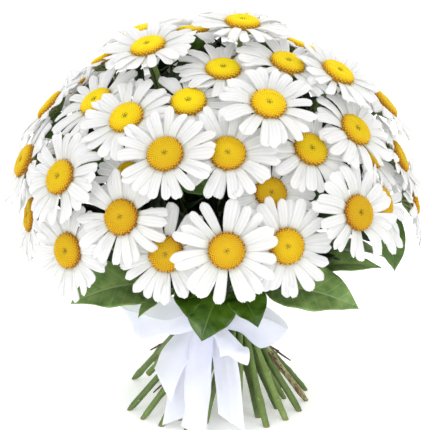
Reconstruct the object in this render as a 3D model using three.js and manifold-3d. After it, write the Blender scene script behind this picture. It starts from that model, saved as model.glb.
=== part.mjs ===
// A hand-tied bunch of daisies: white heads on a dome, a collar of broad leaves, and spiralled stems
// that are cut level, so that the bunch stands on them. A white ribbon is tied round the waist.
// Millimetres, +Z up, the front towards -Y. The stems are cut at z = 0.

import * as THREE from 'three';
import Module from 'manifold-3d';

const wasm = await Module();
wasm.setup();

// ---- driving dimensions -------------------------------------------------------------------

const HEAD_RADIUS = 36;
const DISC_RADIUS = 13;
const DISC_RISE = 5.6;
const CALYX_DEPTH = 7;
const PETAL_THICKNESS = 0.7;
const PETALS_PER_HEAD = 12;

const DOME_RADIUS = 140;
const DOME_RISE = 127;
const DOME_CENTRE_HEIGHT = 162;
const LOWEST_HEAD_PITCH = 14;

const TIE_HEIGHT = 77;
const FOOT_RADIUS = 71;
const STEM_RADIUS = 2.3;
const STEM_SIDES = 4;
const BINDING_RADIUS = 19.4;
const BINDING_HEIGHT = 9;

const LEAF_THICKNESS = 0.8;
const LEAF_STALK_RADIUS = 1.3;

const RIBBON_WIDTH = 25;
const RIBBON_THICKNESS = 0.9;

const GAP = 0.35;

// ---- small helpers ------------------------------------------------------------------------

const vec = (x, y, z) => new THREE.Vector3(x, y, z);
const radians = THREE.MathUtils.degToRad;
const mix = (a, b, share) => a.clone().lerp(b, share);

// The bearing is counted from the front, towards +X.
function fromBearing(bearing, radius, height) {
  return vec(radius * Math.sin(radians(bearing)), -radius * Math.cos(radians(bearing)), height);
}

function makeRandom(seed) {
  let state = seed * 7919 + 17;
  return (low, high) => {
    state = (state * 16807) % 2147483647;
    return low + (high - low) * (state / 2147483647);
  };
}

// A closed mesh is a list of corners and a list of triangles that share them.
function makeShape() {
  return { corners: [], faces: [] };
}

function addCorner(shape, point) {
  shape.corners.push(point);
  return shape.corners.length - 1;
}

function addQuad(shape, a, b, c, d) {
  shape.faces.push([a, b, c], [a, c, d]);
}

function toGeometry(shape) {
  const geometry = new THREE.BufferGeometry();
  const flat = shape.corners.flatMap((point) => point.toArray());
  geometry.setAttribute('position', new THREE.BufferAttribute(new Float32Array(flat), 3));
  geometry.setIndex(shape.faces.flat());
  geometry.computeVertexNormals();
  return geometry;
}

function toSolid(shape, matrix = new THREE.Matrix4()) {
  const flat = shape.corners.flatMap((point) => point.clone().applyMatrix4(matrix).toArray());
  return new wasm.Manifold(new wasm.Mesh({
    numProp: 3,
    vertProperties: new Float32Array(flat),
    triVerts: new Uint32Array(shape.faces.flat()),
  }));
}

function joinShapes(shapes) {
  let body = toSolid(shapes[0]);
  for (const shape of shapes.slice(1)) {
    body = body.add(toSolid(shape));
  }
  return body;
}

function solidGeometry(body) {
  const mesh = body.getMesh();
  const geometry = new THREE.BufferGeometry();
  geometry.setAttribute('position', new THREE.BufferAttribute(new Float32Array(mesh.vertProperties), 3));
  geometry.setIndex(Array.from(mesh.triVerts));
  geometry.computeVertexNormals();
  return geometry;
}

// ---- sweeps: a round stalk and a flat ribbon ---------------------------------------------

// Directions along a path, each one halfway between the stretches that it joins.
function pathDirections(points) {
  return points.map((point, i) => {
    const before = points[Math.max(i - 1, 0)];
    const after = points[Math.min(i + 1, points.length - 1)];
    return after.clone().sub(before).normalize();
  });
}

// A stalk with a ring of corners at each point. A foot on the ground is cut level at z = 0.
function stalkShape(points, radii, sides, levelFoot = false) {
  const shape = makeShape();
  const directions = pathDirections(points);
  let side = directions[0].clone().cross(vec(0.31, 0.17, 0.94)).normalize();
  points.forEach((point, i) => {
    side = side.clone().addScaledVector(directions[i], -side.dot(directions[i])).normalize();
    const other = directions[i].clone().cross(side);
    for (let k = 0; k < sides; k += 1) {
      const turn = (2 * Math.PI * k) / sides;
      const corner = point.clone()
        .addScaledVector(side, radii[i] * Math.cos(turn))
        .addScaledVector(other, radii[i] * Math.sin(turn));
      if (levelFoot && i === 0) {
        corner.addScaledVector(directions[0], -corner.z / directions[0].z);
      }
      addCorner(shape, corner);
    }
  });
  const last = (points.length - 1) * sides;
  for (let i = 0; i < last; i += sides) {
    for (let k = 0; k < sides; k += 1) {
      const next = (k + 1) % sides;
      addQuad(shape, i + k, i + next, i + sides + next, i + sides + k);
    }
  }
  for (let k = 1; k < sides - 1; k += 1) {
    shape.faces.push([0, k + 1, k], [last, last + k, last + k + 1]);
  }
  return shape;
}

// A flat strip: at each station a centre, the way its width lies, and the width.
function stripShape(stations) {
  const shape = makeShape();
  const directions = pathDirections(stations.map((station) => station.at));
  stations.forEach((station, i) => {
    const across = station.across.clone().addScaledVector(directions[i], -station.across.dot(directions[i]));
    across.normalize();
    const outward = directions[i].clone().cross(across);
    for (const [a, b] of [[-1, -1], [1, -1], [1, 1], [-1, 1]]) {
      addCorner(shape, station.at.clone()
        .addScaledVector(directions[i], a * (station.slant ?? 0))
        .addScaledVector(across, (a * station.width) / 2)
        .addScaledVector(outward, (b * RIBBON_THICKNESS) / 2));
    }
  });
  const last = (stations.length - 1) * 4;
  for (let i = 0; i < last; i += 4) {
    for (let k = 0; k < 4; k += 1) {
      const next = (k + 1) % 4;
      addQuad(shape, i + k, i + next, i + 4 + next, i + 4 + k);
    }
  }
  addQuad(shape, 0, 3, 2, 1);
  addQuad(shape, last, last + 1, last + 2, last + 3);
  return shape;
}

// ---- the heads' places ---------------------------------------------------------------------

// bearing and rise place a head on the dome, lift is how far it stands out of it, and size is its share
// of a full head.
const head = (bearing, rise, lift, size = 1) => ({ bearing, rise, lift, size });

const FRONT_HEADS = [
  // lowest row, left to right
  head(-76, -2, -3), head(-44, -4, 6), head(-14, 0, -5), head(3, 2, 8), head(20, 2, 1),
  head(42, 8, 8), head(61, 7, -5), head(87, -1, 6),
  // second row
  head(-76, 15, 6), head(-49, 17, 8), head(-27, 10, 1), head(18, 20, -12, 0.9), head(69, 23, -12, 0.85),
  head(85, 15, -1),
  // third row
  head(-93, 31, 1), head(-31, 25, -14, 0.75), head(-15, 29, 8), head(4, 31, 1), head(34, 31, -5),
  head(54, 32, 2), head(90, 31, 5),
  // fourth row
  head(-59, 44, -6), head(-34, 40, 1), head(-12, 50, -6), head(20, 44, 8), head(64, 49, 8),
  head(95, 47, -4),
  // round the top
  head(-108, 52, -4), head(-47, 64, 8), head(6, 66, -9), head(46, 60, 1), head(44, 79, 9),
  head(112, 60, -5), head(150, 73, 4), head(-97, 67, 4), head(-135, 80, -6),
];

// The back is filled in rows, each with its rise, first bearing, step and count.
const BACK_ROWS = [
  { rise: 8, first: 108, step: 25.5, count: 7 },
  { rise: 33, first: 120, step: 24.5, count: 6 },
  { rise: 56, first: 145, step: 38, count: 3 },
];
const BACK_HEAD_SIZE = 1.08;
const BACK_LIFTS = [-4, 4];

function backHeads() {
  return BACK_ROWS.flatMap((row, r) => Array.from({ length: row.count }, (_, i) => (
    head(row.first + row.step * i, row.rise, BACK_LIFTS[(i + r) % 2], BACK_HEAD_SIZE)
  )));
}

// A head's frame: its matrix stands its axis square to the dome, tilted up towards the lowest row.
function headMatrix({ bearing, rise, lift }) {
  const flat = DOME_RADIUS * Math.cos(radians(rise));
  const point = fromBearing(bearing, flat, DOME_CENTRE_HEIGHT + DOME_RISE * Math.sin(radians(rise)));
  const slope = Math.atan2(DOME_RADIUS * Math.sin(radians(rise)), DOME_RISE * Math.cos(radians(rise)));
  const pitch = radians(LOWEST_HEAD_PITCH) + (1 - LOWEST_HEAD_PITCH / 90) * slope;
  const axis = fromBearing(bearing, Math.cos(pitch), Math.sin(pitch));
  const right = vec(0, 0, 1).cross(axis).normalize();
  const up = axis.clone().cross(right);
  const matrix = new THREE.Matrix4().makeBasis(right, up, axis);
  return matrix.setPosition(point.addScaledVector(axis, lift));
}

// ---- a head: a ring of petals round a raised disc, over a pointed calyx -------------------

// One petal, as the corners of its upper face at a share of its length and of its slice's width.
function petalOutline(petal, count, widen = 0) {
  const middle = petal.turn;
  const halfSlice = Math.PI / count;
  const shoulderRadius = DISC_RADIUS + (petal.reach - DISC_RADIUS) * 0.72;
  const spread = halfSlice * petal.width + widen / shoulderRadius;
  const at = (radius, angle, height) => vec(radius * Math.cos(angle), radius * Math.sin(angle), height);
  return {
    left: at(shoulderRadius, middle + spread, petal.shoulderHeight),
    right: at(shoulderRadius, middle - spread, petal.shoulderHeight),
    tip: at(petal.reach + widen, middle, petal.tipHeight),
  };
}

// The petal on its own, thickened and widened by the clearance that it keeps to its neighbours.
function petalSolid(petal, count, matrix) {
  const shape = makeShape();
  const outline = petalOutline(petal, count, GAP);
  const halfSlice = Math.PI / count;
  const root = (angle) => vec(DISC_RADIUS * Math.cos(angle), DISC_RADIUS * Math.sin(angle), 0);
  const upper = [
    root(petal.turn - halfSlice * 0.7), outline.right, outline.tip, outline.left,
    root(petal.turn + halfSlice * 0.7),
  ];
  for (const height of [GAP, -PETAL_THICKNESS - GAP]) {
    upper.forEach((point) => addCorner(shape, point.clone().add(vec(0, 0, height))));
  }
  shape.faces.push([0, 1, 3], [0, 3, 4], [1, 2, 3], [5, 8, 6], [5, 9, 8], [6, 8, 7]);
  for (let k = 0; k < 5; k += 1) {
    const next = (k + 1) % 5;
    addQuad(shape, k, k + 5, next + 5, next);
  }
  return toSolid(shape, matrix);
}

function headShape(petals) {
  const count = petals.length;
  const shape = makeShape();
  const ring = (radius, height) => petals.map((petal) => {
    const angle = petal.turn - Math.PI / count;
    return addCorner(shape, vec(radius * Math.cos(angle), radius * Math.sin(angle), height));
  });
  const upper = ring(DISC_RADIUS, 0);
  const lower = ring(DISC_RADIUS, -PETAL_THICKNESS);
  const rim = ring(DISC_RADIUS * 0.78, DISC_RISE * 0.8);
  const crown = addCorner(shape, vec(0, 0, DISC_RISE));
  const foot = addCorner(shape, vec(0, 0, -CALYX_DEPTH));
  petals.forEach((petal, k) => {
    const next = (k + 1) % count;
    const outline = petalOutline(petal, count);
    const edge = [outline.right, outline.tip, outline.left];
    const below = vec(0, 0, -PETAL_THICKNESS);
    const [right, tip, left] = edge.map((point) => addCorner(shape, point));
    const under = edge.map((point) => addCorner(shape, point.clone().add(below)));
    addQuad(shape, upper[k], right, left, upper[next]);
    shape.faces.push([right, tip, left]);
    addQuad(shape, lower[k], lower[next], under[2], under[0]);
    shape.faces.push([under[0], under[2], under[1]]);
    addQuad(shape, upper[k], lower[k], under[0], right);
    addQuad(shape, right, under[0], under[1], tip);
    addQuad(shape, tip, under[1], under[2], left);
    addQuad(shape, left, under[2], lower[next], upper[next]);
    addQuad(shape, upper[k], upper[next], rim[next], rim[k]);
    shape.faces.push([rim[k], rim[next], crown], [lower[next], lower[k], foot]);
  });
  return shape;
}

// The room that a head keeps for its middle and the roots of its petals, as a short spinning top.
const ROOT_ROOM = 3.6;

function middleSolid(matrix) {
  const shape = makeShape();
  const sides = 8;
  const wide = DISC_RADIUS + ROOT_ROOM;
  const rings = [[wide, -PETAL_THICKNESS - 1], [wide, 1.2], [DISC_RADIUS * 0.9, DISC_RISE]];
  for (const [radius, height] of rings) {
    for (let k = 0; k < sides; k += 1) {
      const turn = (2 * Math.PI * k) / sides;
      addCorner(shape, vec(radius * Math.cos(turn), radius * Math.sin(turn), height));
    }
  }
  const foot = addCorner(shape, vec(0, 0, -CALYX_DEPTH - 1));
  const crown = addCorner(shape, vec(0, 0, DISC_RISE + GAP));
  for (let k = 0; k < sides; k += 1) {
    const next = (k + 1) % sides;
    addQuad(shape, k, next, sides + next, sides + k);
    addQuad(shape, sides + k, sides + next, 2 * sides + next, 2 * sides + k);
    shape.faces.push([next, k, foot], [2 * sides + k, 2 * sides + next, crown]);
  }
  return toSolid(shape, matrix);
}

// ---- the stems ------------------------------------------------------------------------------

// The stems lie in nested rings at the tie. In each ring they lean the same way round, so they cross at the
// waist without touching and spread into a ring of feet.
const STEM_RINGS = [
  { count: 22, tieRadius: 18.8, footRadius: FOOT_RADIUS },
  { count: 16, tieRadius: 13.6, footRadius: 54 },
  { count: 10, tieRadius: 8.2, footRadius: 36 },
  { count: 4, tieRadius: 3.2, footRadius: 15 },
];

// Some stems are cut short, between these heights.
const SHORT_STEM_SHARE = 0.3;
const SHORT_STEM_ENDS = [10, 44];

// How far above the tie a stem is straight, and how far it turns on round the axis before it reaches its head.
const STRAIGHT_ABOVE_TIE = 20;
const STEM_SWING = 62;
const NECK_LENGTH = 30;

// A straight stem through the tie: its point at a height, for a stem that passes the tie at a bearing.
function stemLine(ring, bearing, height) {
  const lean = Math.sqrt(ring.footRadius ** 2 - ring.tieRadius ** 2) / TIE_HEIGHT;
  const waist = fromBearing(bearing, ring.tieRadius, height);
  return waist.add(fromBearing(bearing + 90, lean * (height - TIE_HEIGHT), 0));
}

// Heads by their rise: the lowest take the outer ring, and in each ring they follow the bearing.
function assignStems(heads) {
  const byRise = [...heads].sort((a, b) => a.rise - b.rise || a.bearing - b.bearing);
  const wrap = (bearing) => ((bearing % 360) + 360) % 360;
  let taken = 0;
  for (const ring of STEM_RINGS) {
    const group = byRise.slice(taken, taken + ring.count);
    taken += ring.count;
    group.sort((a, b) => wrap(a.bearing) - wrap(b.bearing));
    // the turn that brings the ring's stems nearest to their heads
    const step = 360 / ring.count;
    const lag = group.reduce((sum, item, i) => sum + wrap(item.bearing) - i * step, 0) / ring.count;
    group.forEach((item, i) => {
      item.ring = ring;
      item.tieBearing = i * step + lag - STEM_SWING;
    });
  }
}

function stemShape(item, index) {
  const random = makeRandom(500 + index);
  const matrix = headMatrix(item);
  const axis = vec(0, 0, 1).transformDirection(matrix);
  const centre = vec(0, 0, 0).applyMatrix4(matrix);
  const cutShort = random(0, 1) < SHORT_STEM_SHARE;
  const footHeight = cutShort ? random(...SHORT_STEM_ENDS) : 0;
  const neck = centre.clone().addScaledVector(axis, -CALYX_DEPTH * item.size - NECK_LENGTH);
  const end = centre.clone().addScaledVector(axis, -CALYX_DEPTH * item.size - GAP);
  const leaving = stemLine(item.ring, item.tieBearing, TIE_HEIGHT + STRAIGHT_ABOVE_TIE);
  const onward = stemLine(item.ring, item.tieBearing, TIE_HEIGHT + 2.5 * STRAIGHT_ABOVE_TIE);
  const bend = mix(mix(leaving, neck, 0.5), onward, 0.22);
  const points = [
    stemLine(item.ring, item.tieBearing, footHeight), leaving, bend, neck, end,
  ];
  const radii = [1.05, 1, 0.9, 0.8, 0.72].map((share) => share * STEM_RADIUS);
  return stalkShape(points, radii, STEM_SIDES, !cutShort);
}

// The twine that binds the stems, as a low drum that they all pass through.
function bindingShape() {
  const points = [-0.5, 0.5].map((side) => vec(0, 0, TIE_HEIGHT + side * BINDING_HEIGHT));
  return stalkShape(points, [BINDING_RADIUS, BINDING_RADIUS], 12);
}

// ---- the collar leaves ------------------------------------------------------------------------

// Half widths of a leaf along its length, as shares of its width, and how steeply its halves fold up.
const LEAF_STATIONS = [{ share: 0.16, half: 0.3 }, { share: 0.42, half: 0.5 }, { share: 0.72, half: 0.38 }];
const LEAF_FOLD = 0.22;

// A broad blade from base to tip, folded at its midrib and arched between its ends.
function bladeShape({ base, tip, width, arch, face }) {
  const shape = makeShape();
  const along = tip.clone().sub(base);
  const side = along.clone().cross(face).normalize();
  const lift = side.clone().cross(along).normalize();
  const stations = LEAF_STATIONS;
  const middleAt = (share) => base.clone()
    .addScaledVector(along, share)
    .addScaledVector(lift, arch * 4 * share * (1 - share));
  const edgeAt = ({ share, half }, sign) => middleAt(share)
    .addScaledVector(side, sign * half * width)
    .addScaledVector(lift, half * width * LEAF_FOLD);
  const upper = [
    middleAt(0), ...stations.map((station) => edgeAt(station, -1)), middleAt(1),
    ...[...stations].reverse().map((station) => edgeAt(station, 1)),
    ...stations.map((station) => middleAt(station.share)),
  ];
  for (const depth of [0, -LEAF_THICKNESS]) {
    upper.forEach((point) => addCorner(shape, point.clone().addScaledVector(lift, depth)));
  }
  const faces = [
    [0, 1, 8], [1, 2, 9], [1, 9, 8], [2, 3, 10], [2, 10, 9], [3, 4, 10],
    [0, 8, 7], [8, 6, 7], [8, 9, 6], [9, 5, 6], [9, 10, 5], [10, 4, 5],
  ];
  const count = upper.length;
  faces.forEach(([a, b, c]) => {
    shape.faces.push([a, c, b], [a + count, b + count, c + count]);
  });
  for (let k = 0; k < 8; k += 1) {
    const next = (k + 1) % 8;
    addQuad(shape, k, next, next + count, k + count);
  }
  return shape;
}

// A leaf by its base and tip, how wide it is, how high it arches and which way it faces.
const leaf = (base, tip, width, arch, face = vec(0, 0, 1)) => ({ base, tip, width, arch, face });

const COLLAR_HEIGHT = 98;
const LEAF_ROOT_HEIGHT = 91;
const LEAF_ROOT_RADIUS = 33.5;
const LEAF_STALK_TAPER = [1.5, 1.2, 0.9];
const collarLeaf = (bearing, tipRadius, tipHeight, width) => (
  leaf(fromBearing(bearing, 43, COLLAR_HEIGHT), fromBearing(bearing, tipRadius, tipHeight), width, 8)
);

const LEAF_GROUPS = {
  leaves_front: [
    leaf(vec(-19, -45, 100), vec(-22, -70, 87), 22, 3),
    leaf(vec(-3, -47, 102), vec(-10, -72, 69), 44, 5, vec(0, -0.5, 0.8)),
    leaf(vec(18, -46, 101), vec(31, -74, 80), 34, 5, vec(0, -0.4, 0.9)),
  ],
  leaves_left: [
    leaf(vec(-30, -38, 98), vec(-55, -82, 97), 14, 4),
    leaf(vec(-39, -31, 101), vec(-104, -66, 101), 48, 9, vec(-0.2, -0.6, 0.75)),
    leaf(vec(-44, -4, 100), vec(-122, -14, 108), 36, 8, vec(0, -0.2, 0.95)),
  ],
  leaves_right: [
    leaf(vec(36, -35, 101), vec(104, -66, 97), 44, 9, vec(0.15, -0.6, 0.75)),
    leaf(vec(44, -16, 103), vec(122, -38, 119), 28, 6, vec(0.1, -0.35, 0.9)),
    leaf(vec(45, 6, 99), vec(132, 2, 112), 38, 12),
  ],
  leaves_back_right: [collarLeaf(126, 122, 102, 40), collarLeaf(153, 122, 98, 40)],
  leaves_back_left: [
    collarLeaf(188, 122, 100, 40), collarLeaf(215, 122, 104, 38), collarLeaf(243, 120, 108, 34),
  ],
};

// Where a group's stalks meet, just outside the stems and above the ribbon.
function leafGroupShapes(leaves) {
  const middle = leaves.reduce((sum, { base }) => sum.add(base), vec(0, 0, 0));
  const root = vec(middle.x, middle.y, 0).setLength(LEAF_ROOT_RADIUS).setZ(LEAF_ROOT_HEIGHT);
  const radii = LEAF_STALK_TAPER.map((share) => share * LEAF_STALK_RADIUS);
  return leaves.flatMap((item) => {
    const into = mix(item.base, item.tip, 0.1).add(vec(0, 0, 0.5));
    return [stalkShape([root, item.base, into], radii, 3), bladeShape(item)];
  });
}

// ---- the ribbon ---------------------------------------------------------------------------------

// The wound band follows the waist of the stems: radius and height of its section's corners.
const BAND_HALF_WIDTH = RIBBON_WIDTH / 2 - 0.5;
const BAND_SECTION = [
  [26.6, -BAND_HALF_WIDTH], [23.4, 0], [26.6, BAND_HALF_WIDTH],
  [28, BAND_HALF_WIDTH], [24.8, 0], [28, -BAND_HALF_WIDTH],
];
const BAND_SIDES = 18;

function bandShape() {
  const shape = makeShape();
  const rings = BAND_SECTION.length;
  for (let k = 0; k < BAND_SIDES; k += 1) {
    for (const [radius, height] of BAND_SECTION) {
      addCorner(shape, fromBearing((360 * k) / BAND_SIDES, radius, TIE_HEIGHT + height));
    }
  }
  for (let k = 0; k < BAND_SIDES; k += 1) {
    const here = k * rings;
    const there = ((k + 1) % BAND_SIDES) * rings;
    for (let i = 0; i < rings; i += 1) {
      const next = (i + 1) % rings;
      addQuad(shape, here + i, here + next, there + next, there + i);
    }
  }
  return shape;
}

const KNOT = vec(-7.6, -35.7, TIE_HEIGHT - 0.7);

const KNOT_ROWS = [[-12, 6], [-6, 9.5], [5, 9.5], [11, 6]];
const KNOT_FLATNESS = 0.7;

// The knot: a plump cushion, wider than it is deep. Each of its rows has a height and a radius.
function knotShape() {
  const centres = KNOT_ROWS.map(([height]) => KNOT.clone().add(vec(0, 0, height)));
  const shape = stalkShape(centres, KNOT_ROWS.map(([, radius]) => radius), 8);
  shape.corners.forEach((corner) => {
    corner.y = KNOT.y + (corner.y - KNOT.y) * KNOT_FLATNESS;
  });
  return shape;
}

// A strip's station: its centre, the way its width lies, its width, and how far a slanted cut leans.
const station = (x, y, z, across, width, slant = 0) => ({ at: vec(x, y, z), across, width, slant });

// One loop to the left, one that drops in front, and one to the right.
function loopShapes() {
  const upright = vec(0.1, 0, 1);
  const leaning = vec(0.75, -0.1, 0.6);
  const falling = vec(0.35, -0.2, 0.9);
  return [
    stripShape([
      station(-3, -31.5, 78, upright, 11),
      station(-22, -30, 79, upright, 20),
      station(-48, -33, 78, upright, 25),
      station(-64, -41, 76, upright, 25),
      station(-67, -50, 75, upright, 25),
      station(-58, -57, 74, upright, 25),
      station(-38, -55, 74, upright, 24),
      station(-21, -47, 76, upright, 17),
      station(-4, -37.5, 79, upright, 9),
    ]),
    stripShape([
      station(-7, -33.5, 74, leaning, 12),
      station(6, -42, 62, leaning, 19),
      station(12, -57, 51, leaning, 22),
      station(15, -66, 50, leaning, 22),
      station(14, -68, 58, leaning, 22),
      station(7, -58, 68, leaning, 19),
      station(-8, -40, 79, leaning, 10),
    ]),
    stripShape([
      station(-9, -30, 80, falling, 12),
      station(14, -34, 80, falling, 21),
      station(34, -35, 79, falling, 24),
      station(49, -42, 75, falling, 24),
      station(50, -51, 73, falling, 24),
      station(38, -55, 75, falling, 24),
      station(16, -48, 78, falling, 18),
      station(-7, -35.5, 77, falling, 10),
    ]),
  ];
}

// Three tails, left to right. The middle one reaches the ground in front of the stems.
function tailShapes() {
  return [
    stripShape([
      station(-7, -33, 74, vec(1, 0.1, 0.2), 11),
      station(-20, -38, 64, vec(1, -0.25, 0.3), 20),
      station(-29, -48, 50, vec(1, -0.4, 0.3), 25),
      station(-35, -58, 34, vec(1, -0.5, 0.2), 25, 10),
    ]),
    stripShape([
      station(-5, -38.5, 75, vec(1, 0.1, 0), 11),
      station(-12, -49, 60, vec(1, 0, 0), 20),
      station(-15, -62, 42, vec(1, 0, 0), 22),
      station(-15, -73, 22, vec(1, 0, 0), 22),
      station(-17, -84, 2, vec(1, 0, 0), 22),
    ]),
    stripShape([
      station(-5, -31.5, 73, vec(1, 0.1, 0), 11),
      station(6, -39, 60, vec(1, 0.15, 0.1), 19),
      station(12, -57, 38, vec(1, 0.25, 0.1), 22),
      station(17, -77, 16, vec(1, 0.2, 0.2), 22, 7),
    ]),
  ];
}

// ---- petals that keep clear ----------------------------------------------------------------

// The bends and lengths that a petal tries, from its own form to a short, steep one.
const BENDS = [0, 2, -2, 4, -4, 6, -6, 8, 10, -8, 13, 16];
const SHORTENINGS = [1, 0.92, 0.84, 0.75, 0.65, 0.55, 0.45, 0.35, 0.25, 0.14];

function makePetals(index) {
  const random = makeRandom(index + 1);
  const phase = random(0, 1);
  return Array.from({ length: PETALS_PER_HEAD }, (_, k) => ({
    turn: ((k + phase) * 2 * Math.PI) / PETALS_PER_HEAD,
    reach: HEAD_RADIUS * random(0.92, 1.04),
    width: random(0.78, 0.88),
    shoulderHeight: random(0.3, 2.2),
    tipHeight: random(-1.5, 2.2),
  }));
}

function fitPetal(petal, matrix, obstacles) {
  for (const share of SHORTENINGS) {
    for (const bend of BENDS) {
      const reach = DISC_RADIUS + (petal.reach - DISC_RADIUS) * share;
      const trial = {
        ...petal,
        reach,
        shoulderHeight: petal.shoulderHeight + bend * 0.6,
        tipHeight: petal.tipHeight + bend,
      };
      const body = petalSolid(trial, PETALS_PER_HEAD, matrix);
      const box = body.boundingBox();
      const free = obstacles.every((obstacle) => !boxesMeet(box, obstacle.box)
        || body.intersect(obstacle.body).isEmpty());
      if (free) {
        return { petal: trial, body, box };
      }
    }
  }
  throw new Error('a petal finds no clear place');
}

function boxesMeet(a, b) {
  return [0, 1, 2].every((axis) => a.min[axis] < b.max[axis] && b.min[axis] < a.max[axis]);
}

const asObstacle = (body) => ({ body, box: body.boundingBox() });

// ---- assembly ----------------------------------------------------------------------------------

const petalWhite = new THREE.MeshStandardMaterial({ color: 0xfbfbf7, roughness: 0.65, side: THREE.DoubleSide });
const stemGreen = new THREE.MeshStandardMaterial({ color: 0x5c8038, roughness: 0.6 });
const leafGreen = new THREE.MeshStandardMaterial({ color: 0x3f6f22, roughness: 0.45 });
const ribbonWhite = new THREE.MeshStandardMaterial({ color: 0xf1f1fa, roughness: 0.35 });

const bunch = new THREE.Group();

function addMesh(name, geometry, material) {
  const mesh = new THREE.Mesh(geometry, material.clone());
  mesh.name = name;
  bunch.add(mesh);
  return mesh;
}

const heads = [...FRONT_HEADS, ...backHeads()];
assignStems(heads);
const stems = heads.map((item, index) => stemShape(item, index));
addMesh('stems', solidGeometry(joinShapes([bindingShape(), ...stems])), stemGreen);

const stemBodies = stems.map((shape) => asObstacle(toSolid(shape)));
const leafBodies = [];
for (const [name, leaves] of Object.entries(LEAF_GROUPS)) {
  const body = joinShapes(leafGroupShapes(leaves));
  leafBodies.push(asObstacle(body));
  addMesh(name, solidGeometry(body), leafGreen);
}

addMesh('ribbon_band', toGeometry(bandShape()), ribbonWhite);
addMesh('ribbon_bow', solidGeometry(joinShapes([knotShape(), ...loopShapes(), ...tailShapes()])), ribbonWhite);

const matrices = heads.map((item) => headMatrix(item).scale(vec(item.size, item.size, item.size)));
const middles = matrices.map((matrix) => asObstacle(middleSolid(matrix)));

// Heads are dressed from the innermost outwards, so that the outer petals rise over the inner ones.
const order = heads.map((_, index) => index).sort((a, b) => heads[a].lift - heads[b].lift);
const placedPetals = [];
for (const index of order) {
  const own = [stemBodies[index], middles[index]];
  const others = [...stemBodies, ...middles].filter((body) => !own.includes(body));
  const obstacles = [...others, ...leafBodies, ...placedPetals];
  const petals = makePetals(index).map((petal) => fitPetal(petal, matrices[index], obstacles));
  placedPetals.push(...petals.map(({ body, box }) => ({ body, box })));
  const name = `bloom_${String(index + 1).padStart(2, '0')}`;
  const mesh = addMesh(name, toGeometry(headShape(petals.map(({ petal }) => petal))), petalWhite);
  mesh.applyMatrix4(matrices[index]);
}

export default bunch;
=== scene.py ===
"""A hand-tied bunch of daisies with a satin bow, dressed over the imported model.

White ray petals round golden discs stand on a dome. Green stems carry them through a tie at the waist
and spread again to the cut ends on which the bunch stands. Broad leaves make a collar under the lowest
heads, and a white satin ribbon is tied round the waist in a bow with three loops, three tails and a
short end.
"""

import logging
import math
from collections.abc import Callable
from dataclasses import dataclass, field, replace
from enum import Enum
from functools import partial

import bpy
import numpy as np
from bpy.types import Material, Mesh, NodeTree, Object
from mathutils import Matrix, Vector


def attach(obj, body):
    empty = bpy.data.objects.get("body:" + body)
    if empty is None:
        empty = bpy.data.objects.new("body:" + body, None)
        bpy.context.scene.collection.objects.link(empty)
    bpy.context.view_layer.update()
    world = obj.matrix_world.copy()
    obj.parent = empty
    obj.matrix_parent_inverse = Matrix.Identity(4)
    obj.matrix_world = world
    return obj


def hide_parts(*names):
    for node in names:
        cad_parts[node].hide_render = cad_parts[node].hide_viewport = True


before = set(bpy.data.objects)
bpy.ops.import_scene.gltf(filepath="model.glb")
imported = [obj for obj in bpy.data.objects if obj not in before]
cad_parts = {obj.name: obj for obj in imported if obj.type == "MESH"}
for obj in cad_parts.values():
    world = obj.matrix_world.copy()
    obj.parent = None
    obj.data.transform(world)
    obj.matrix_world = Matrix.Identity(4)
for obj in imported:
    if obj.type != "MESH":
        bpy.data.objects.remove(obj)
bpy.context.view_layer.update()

LOG = logging.getLogger("bunch")
MM = 0.001
TURN = 2 * math.pi
GOLDEN_ANGLE = math.pi * (3 - math.sqrt(5))
TIE_HEIGHT = 77  # the height of the waist, in millimetres
BODY = "root"

# what a random turn and a random phase of a wave are drawn from
ANY_TURN = (0, 6.28)
ANY_PHASE = (0, 6)

Array = np.ndarray
Socket = bpy.types.NodeSocket
Value = float | int | bool | str | tuple | list | bpy.types.ID | Socket
Adder = Callable[..., Socket]
Pair = tuple[float, float]
Triple = tuple[float, float, float]
Row = tuple[float, ...]
Pairs = tuple[Pair, ...]
Stops = tuple[tuple[float, str], ...]


class Slot(Enum):
    """The record's material slots."""

    PETAL = "petal"
    DISC = "disc"
    STEM = "stem"
    LEAF = "leaf"
    RIBBON = "ribbon"


# ---- small helpers ----


def linear(code: str) -> tuple[float, float, float, float]:
    """Turns an sRGB hex colour into linear light.

    Args:
        code: A colour such as "#FFCC00".

    Returns:
        Red, green and blue as linear values, and an alpha of 1.
    """
    levels = [int(code[i : i + 2], 16) / 255 for i in (1, 3, 5)]
    return (*[c / 12.92 if c <= 0.04045 else ((c + 0.055) / 1.055) ** 2.4 for c in levels], 1.0)


def add_node(
    tree: NodeTree,
    kind: str,
    inputs: dict[str | int, Value] | list[Value] | None = None,
    out: str | int = 0,
    stops: Stops = (),
    curve: Pairs = (),
    **settings: Value,
) -> Socket:
    """Adds a node with its settings and links.

    Args:
        tree: The node tree that gets the node.
        kind: The node's type.
        inputs: A value, an output or a list of outputs for each socket, in order or by name or number.
        out: Which output is wanted.
        stops: For a colour ramp, positions and hex colours.
        curve: For a float curve, its points.
        settings: Properties of the node.

    Returns:
        The wanted output.
    """
    node = tree.nodes.new(kind)
    for name, value in settings.items():
        setattr(node, name, value)
    for key, value in dict(enumerate(inputs) if isinstance(inputs, list) else inputs or {}).items():
        outputs = value if isinstance(value, list) else [value]
        if isinstance(outputs[0], Socket):
            for output in outputs:
                tree.links.new(output, node.inputs[key])
        else:
            node.inputs[key].default_value = value
    if stops:
        elements = node.color_ramp.elements
        while len(elements) < len(stops):
            elements.new(0.5)
        for element, (position, code) in zip(elements, stops):
            element.position = position
            element.color = linear(code)
    if curve:
        line = node.mapping.curves[0]
        while len(line.points) < len(curve):
            line.points.new(0.5, 0.5)
        for point, place in zip(line.points, curve):
            point.location = place
        node.mapping.update()
    return node.outputs[out]


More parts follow.
